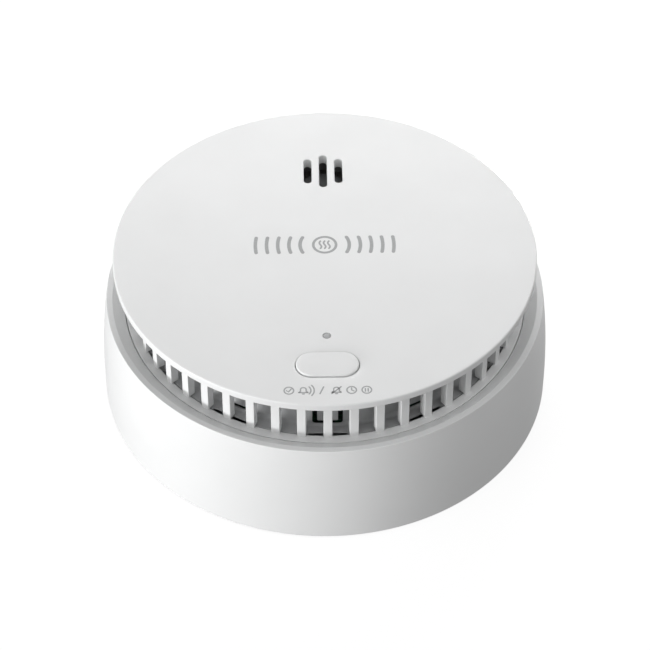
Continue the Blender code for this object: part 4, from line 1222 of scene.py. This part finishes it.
def horn(black, dark_grey, nickel, ceramic, soft, tin):
    centre = (0, HORN_Y, 0)
    inner = HORN_RADIUS - 1.0
    base = [
        (0, 24.3, 0), (HORN_RADIUS, 24.3, 0.2), (HORN_RADIUS, 31.0, 0.2), (inner, 31.0, 0.15),
        (inner, 30.2, 0), (inner - 1.1, 30.2, 0.15), (inner - 1.1, 25.3, 0.3), (0, 25.3, 0),
    ]
    spots = ((-4.5, -2.0), (4.5, -2.0), (0.0, 5.0))
    holes = merged([rod(0.8, 23.3, 26.3, 0, spot, 24) for spot in spots])
    mesh = combined(turned(base), cut=[holes])
    add_piece("horn_base_fine", moved(mesh, centre), black, ["horn_base"])

    wall = [(9.4, 31.3, 0.15), (HORN_RADIUS, 31.3, 0.2), (HORN_RADIUS, 35.0, 0.3), (9.4, 35.0, 0.6)]
    plug = [(0, 32.0, 0), (6.2, 32.0, 0.2), (6.2, 33.0, 0.35), (2.0, 33.0, 0), (0, 32.8, 0)]
    spoke = block((5.2, -0.8, 32.2), (10.4, 0.8, 32.8), 0.15)
    joins = [around(spoke, even_angles(3, 30.0)), turned(plug, 4, 64)]
    mesh = combined(turned(wall, 5), join=joins)
    add_piece("horn_cap_fine", moved(mesh, centre), dark_grey, ["horn_cap"])

    ring = turned([(8.6, 35.3, 0.2), (11.0, 35.3, 0.2), (11.0, 36.2, 0.2), (8.6, 36.2, 0.2)], 3)
    add_piece("gasket_fine", moved(ring, centre), soft, ["horn_gasket"])
    disc = rod(10.1, 30.5, 30.9, 0.1, centre[:2], MIDDLE_SIDES)
    add_piece("piezo_disc_fine", disc, nickel, ["piezo_disc"])
    wafer = rod(7.0, 31.0, 31.3, 0.05, centre[:2], MIDDLE_SIDES)
    add_piece("piezo_ceramic_fine", wafer, ceramic, ["piezo_ceramic"])
    for k, (x, y) in enumerate(spots):
        points = [(0, 24.3), (0, 26.0), (0.45, 27.4), (0.5, 28.8), (0.05, 30.1), (0, 30.3)]
        route = smooth_route([(x + dx, HORN_Y + y, z) for dx, z in points], 5)
        name = f"horn_contact_{k + 1}"
        add_piece(name + "_fine", tube(route, 0.28, 4), tin, [name])


# Printed symbols


def stroke(points, width, low, high):
    """A printed line along points, with round ends."""
    places = [Vector(p) for p in points]
    left, right = [], []
    for k, here in enumerate(places):
        ahead = places[min(k + 1, len(places) - 1)] - places[max(k - 1, 0)]
        side = Vector((-ahead.y, ahead.x)).normalized() * width / 2
        left.append(here + side)
        right.append(here - side)

    end_cap = [Vector(p) for p in turn_half(places[-1], right[-1], width / 2)]
    start_cap = [Vector(p) for p in turn_half(places[0], left[0], width / 2)]
    outline = right + end_cap + left[::-1] + start_cap
    return prism(outline, low, high)


def turn_half(centre, start, radius):
    """Points half way round a centre, anticlockwise from a start point, without its ends."""
    offset = Vector(start) - Vector(centre)
    first = math.degrees(math.atan2(offset.y, offset.x))
    return arc(centre, radius, first, first + 180, 6)[1:-1]


def wisp(x, y):
    """A wavy line of smoke, upright on the face."""
    shares = [k / 16 for k in range(17)]
    return [(x + 0.225 * math.sin(2 * math.pi * share), y + 2.4 * (share - 0.5)) for share in shares]


def printed_ring(x, y, radius, width, low, high):
    inner, outer = radius - width / 2, radius + width / 2
    return moved(lathe([(inner, low), (outer, low), (outer, high), (inner, high)], 64), (x, y, 0))


def bell(x, y):
    """The lines of a small bell: its body, and its clapper below."""
    body = [(x - 0.95, y - 0.6), (x - 0.6, y - 0.2)] + arc((x, y + 0.25), 0.6, 180, 0, 12)
    body += [(x + 0.6, y - 0.2), (x + 0.95, y - 0.6)]
    return [body, [(x - 0.95, y - 0.6), (x + 0.95, y - 0.6)], [(x - 0.2, y - 1.0), (x + 0.2, y - 1.0)]]


def face_symbol(low, high):
    """Smoke wisps in a ring, between widening sound arcs."""
    y = SYMBOL_Y
    meshes = [printed_ring(0, y, 2.55, 0.6, low, high)]
    for x in (-0.95, 0.0, 0.95):
        meshes.append(stroke(wisp(x, y), 0.42, low, high))
    for k in range(SYMBOL_ARCS):
        radius = SYMBOL_HALF_WIDTH - 0.4 - 2.5 * k
        reach = math.degrees(math.asin(2.45 / radius))
        for middle in (0, 180):
            points = arc((0, y), radius, middle - reach, middle + reach, 16)
            meshes.append(stroke(points, 0.8, low, high))
    return meshes


def label_symbols(low, high):
    """Under the button: test symbols, a slash, and silence symbols."""
    y = LABEL_Y
    lines = [[(-8.75, y), (-8.35, y - 0.4), (-7.75, y + 0.45)]]
    lines += bell(-5.2, y) + [arc((-5.2, y), radius, -40, 40, 10) for radius in (1.6, 2.3)]
    lines.append([(-1.7, y - 1.0), (-0.9, y + 1.0)])
    lines += bell(1.8, y) + [[(0.8, y - 1.0), (2.8, y + 1.0)]]
    lines.append([(5.0, y + 0.6), (5.0, y), (5.5, y - 0.3)])
    lines += [[(x, y - 0.4), (x, y + 0.4)] for x in (7.9, 8.5)]
    rings = [printed_ring(x, y, 1.0, 0.31, low, high) for x in (-8.25, 5.0, 8.2)]
    return rings + [stroke(points, 0.31, low, high) for points in lines]


def printed_symbols(pale, dark):
    low, high = DISC_TOP - 0.04, DISC_TOP + 0.015
    meshes = [numbered(mesh, 0) for mesh in face_symbol(low, high)]
    meshes += [numbered(mesh, 1) for mesh in label_symbols(low, high)]
    add_piece("printed_symbols", merged(meshes), [pale, dark])


# Stage


def seen_and_lit_by(tree, lit_by, seen):
    """A shader that gives the scene one light and shows the camera another."""
    path = add_node(tree, "ShaderNodeLightPath")
    choice = add_node(tree, "ShaderNodeMixShader")
    tree.links.new(path.outputs["Is Camera Ray"], choice.inputs[0])
    tree.links.new(lit_by.outputs[0], choice.inputs[1])
    tree.links.new(seen.outputs[0], choice.inputs[2])
    return choice.outputs[0]


def floor():
    """A plain pale floor, bright enough to read as a white sweep."""
    shape = bmesh.new()
    bmesh.ops.create_grid(shape, x_segments=8, y_segments=8, size=4000)
    obj = bpy.data.objects.new("floor", finished(shape))
    made = bpy.data.materials.new("floor")
    made.use_nodes = True
    tree = made.node_tree
    tree.nodes.remove(tree.nodes["Principled BSDF"])
    seen = add_node(tree, "ShaderNodeEmission", {"Color": (1, 1, 1, 1), "Strength": 0.86})
    matt = add_node(tree, "ShaderNodeBsdfDiffuse", {"Color": (0.2, 0.2, 0.2, 1)})
    both = add_node(tree, "ShaderNodeAddShader")
    bounce = add_node(tree, "ShaderNodeEmission", {"Color": (1, 1, 1, 1), "Strength": SURROUND})
    tree.links.new(seen.outputs[0], both.inputs[0])
    tree.links.new(matt.outputs[0], both.inputs[1])
    tree.links.new(seen_and_lit_by(tree, bounce, both), tree.nodes["Material Output"].inputs["Surface"])
    obj.data.materials.append(made)
    bpy.context.scene.collection.objects.link(obj)
    obj.location.z = -0.0002


def area_light(name, place, target, size, power):
    data = bpy.data.lights.new(name, "AREA")
    data.shape = "RECTANGLE"
    data.size, data.size_y = size
    data.energy = power
    obj = bpy.data.objects.new(name, data)
    obj.location = place
    obj.rotation_euler = (Vector(target) - Vector(place)).to_track_quat("-Z", "Y").to_euler()
    bpy.context.scene.collection.objects.link(obj)


def studio():
    scene = bpy.context.scene
    scene.view_settings.view_transform = "Standard"
    world = bpy.data.worlds.new("studio")
    scene.world = world
    world.use_nodes = True
    tree = world.node_tree
    background = tree.nodes["Background"]
    background.inputs["Strength"].default_value = SURROUND
    white = add_node(tree, "ShaderNodeBackground", {"Color": (1, 1, 1, 1), "Strength": 1.0})
    background.inputs["Color"].default_value = (1, 1, 1, 1)
    tree.links.new(seen_and_lit_by(tree, background, white), tree.nodes["World Output"].inputs["Surface"])
    wall, face = (0, 0, 0.015), (0, 0, 0.03)
    area_light("left_low", (-0.75, -0.42, 0.07), wall, (0.5, 0.12), 5.8)
    area_light("left_front", (-0.5, -0.6, 0.42), wall, (0.5, 0.4), 1.25)
    area_light("left_high", (-0.6, -0.1, 0.35), wall, (0.4, 0.4), 0.33)
    area_light("overhead", (0.1, 0.1, 0.5), face, (1.2, 1.2), 1.18)
    area_light("back_low", (0, 0.26, 0.22), face, (0.25, 0.12), 0.386)
    area_light("fill_right", (0.45, -0.15, 0.6), face, (0.5, 0.5), 0.81)
    area_light("back_right", (0.25, 0.55, 0.021), (0, 0, 0.018), (0.3, 0.036), 2.8)


def camera():
    elevation, azimuth = math.radians(45.2), math.radians(0.9)
    distance, aside = 0.5715, 0.00005
    target = Vector((aside, 0, 0.01474))
    level = math.cos(elevation)
    away = Vector((-math.sin(azimuth) * level, -math.cos(azimuth) * level, math.sin(elevation)))
    data = bpy.data.cameras.new("camera")
    data.lens = 137.7
    data.sensor_width = 36.0
    data.clip_start = 0.01
    obj = bpy.data.objects.new("camera", data)
    obj.location = target + away * distance
    obj.rotation_euler = (-away).to_track_quat("-Z", "Y").to_euler()
    bpy.context.scene.collection.objects.link(obj)
    bpy.context.scene.camera = obj


def main():
    white = moulded("white_plastic", (0.82, 0.825, 0.825), 0.38)
    button_white = moulded("button_plastic", (0.82, 0.825, 0.825), 0.42, grain=0.15)
    # The ring is white plastic; this mid-grey is painted shade that darkens it to the dim tone of the
    # inside seen through the vents.
    grey = moulded("grey_plastic", (0.42, 0.425, 0.43), 0.5)
    black = moulded("black_plastic", (0.02, 0.02, 0.021), 0.55)
    dark_grey = moulded("horn_plastic", (0.3, 0.303, 0.307), 0.55)
    chip = moulded("chip_resin", (0.02, 0.02, 0.022), 0.5, grain=0.1)
    ferrite = moulded("ferrite", (0.06, 0.06, 0.062), 0.6, grain=0.1, depth=0.01)
    steel = metal("plated_steel", (0.62, 0.62, 0.63), 0.28, (1, 1, 0.1))
    tin = metal("tinned", (0.68, 0.68, 0.66), 0.35)
    nickel = metal("plated_brass", (0.35, 0.34, 0.32), 0.3, (0.1, 1, 1))
    copper = metal("enamelled_copper", (0.72, 0.35, 0.18), 0.3)
    can = metal("aluminium_can", (0.75, 0.75, 0.77), 0.3, (1, 0.1, 1))
    ceramic = moulded("ceramic", (0.78, 0.76, 0.7), 0.5, grain=0.1)
    board = board_laminate()
    soft = foam()
    sleeve = sleeve_film()
    film = moulded("capacitor_film", (0.03, 0.035, 0.06), 0.3)
    light = lens("light_pipe_resin", (0.46, 0.465, 0.47), 0.1, 0.3)
    clear = lens("clear_lens", (0.8, 0.83, 0.85), 0.9)
    dark = lens("dark_lens", (0.04, 0.015, 0.02), 0.3)
    pale_ink = ink("pale_ink", (0.38, 0.385, 0.39))
    dark_ink = ink("dark_ink", (0.15, 0.153, 0.157))

    rear_housing(white)
    front_cover(white)
    test_button(button_white)
    light_pipe(light)
    # The ring's mid-grey finish is painted shade.
    retaining_ring(grey)
    mounting_bracket(white)
    battery_door(white)
    for k, side in ((1, -1), (2, 1)):
        battery_cell(f"cell_{k}_fine", f"battery_cell_{k}", side, [steel, sleeve])
    contact_plate("positive_contact_fine", "positive_contact", steel)
    contact_plate("bridge_contact_fine", "bridge_contact", steel)
    cell_spring("negative_spring_fine", "negative_spring", steel, 28.2, 22.9, 1, BOARD_HEIGHTS[1])
    cell_spring("bridge_spring_fine", "bridge_spring", steel, -27.5, -22.9, -1)
    coil_spring(steel)
    for k in range(4):
        pan_screw(f"board_screw_{k + 1}_fine", f"board_screw_{k + 1}", steel, False)
    for k in range(3):
        pan_screw(f"case_screw_{k + 1}_fine", f"case_screw_{k + 1}", steel, True)
    circuit_board([board, tin])
    small_parts(chip, tin)
    microcontroller(chip, tin)
    boost_inductor(ferrite, copper)
    storage_capacitor(film, can)
    test_switch(black, tin, button_white)
    diodes(clear, dark, clear)
    chamber_base(black)
    labyrinth_cover(black)
    insect_screen(steel)
    horn(black, dark_grey, nickel, ceramic, soft, tin)
    printed_symbols(pale_ink, dark_ink)
    floor()
    studio()
    camera()


main()
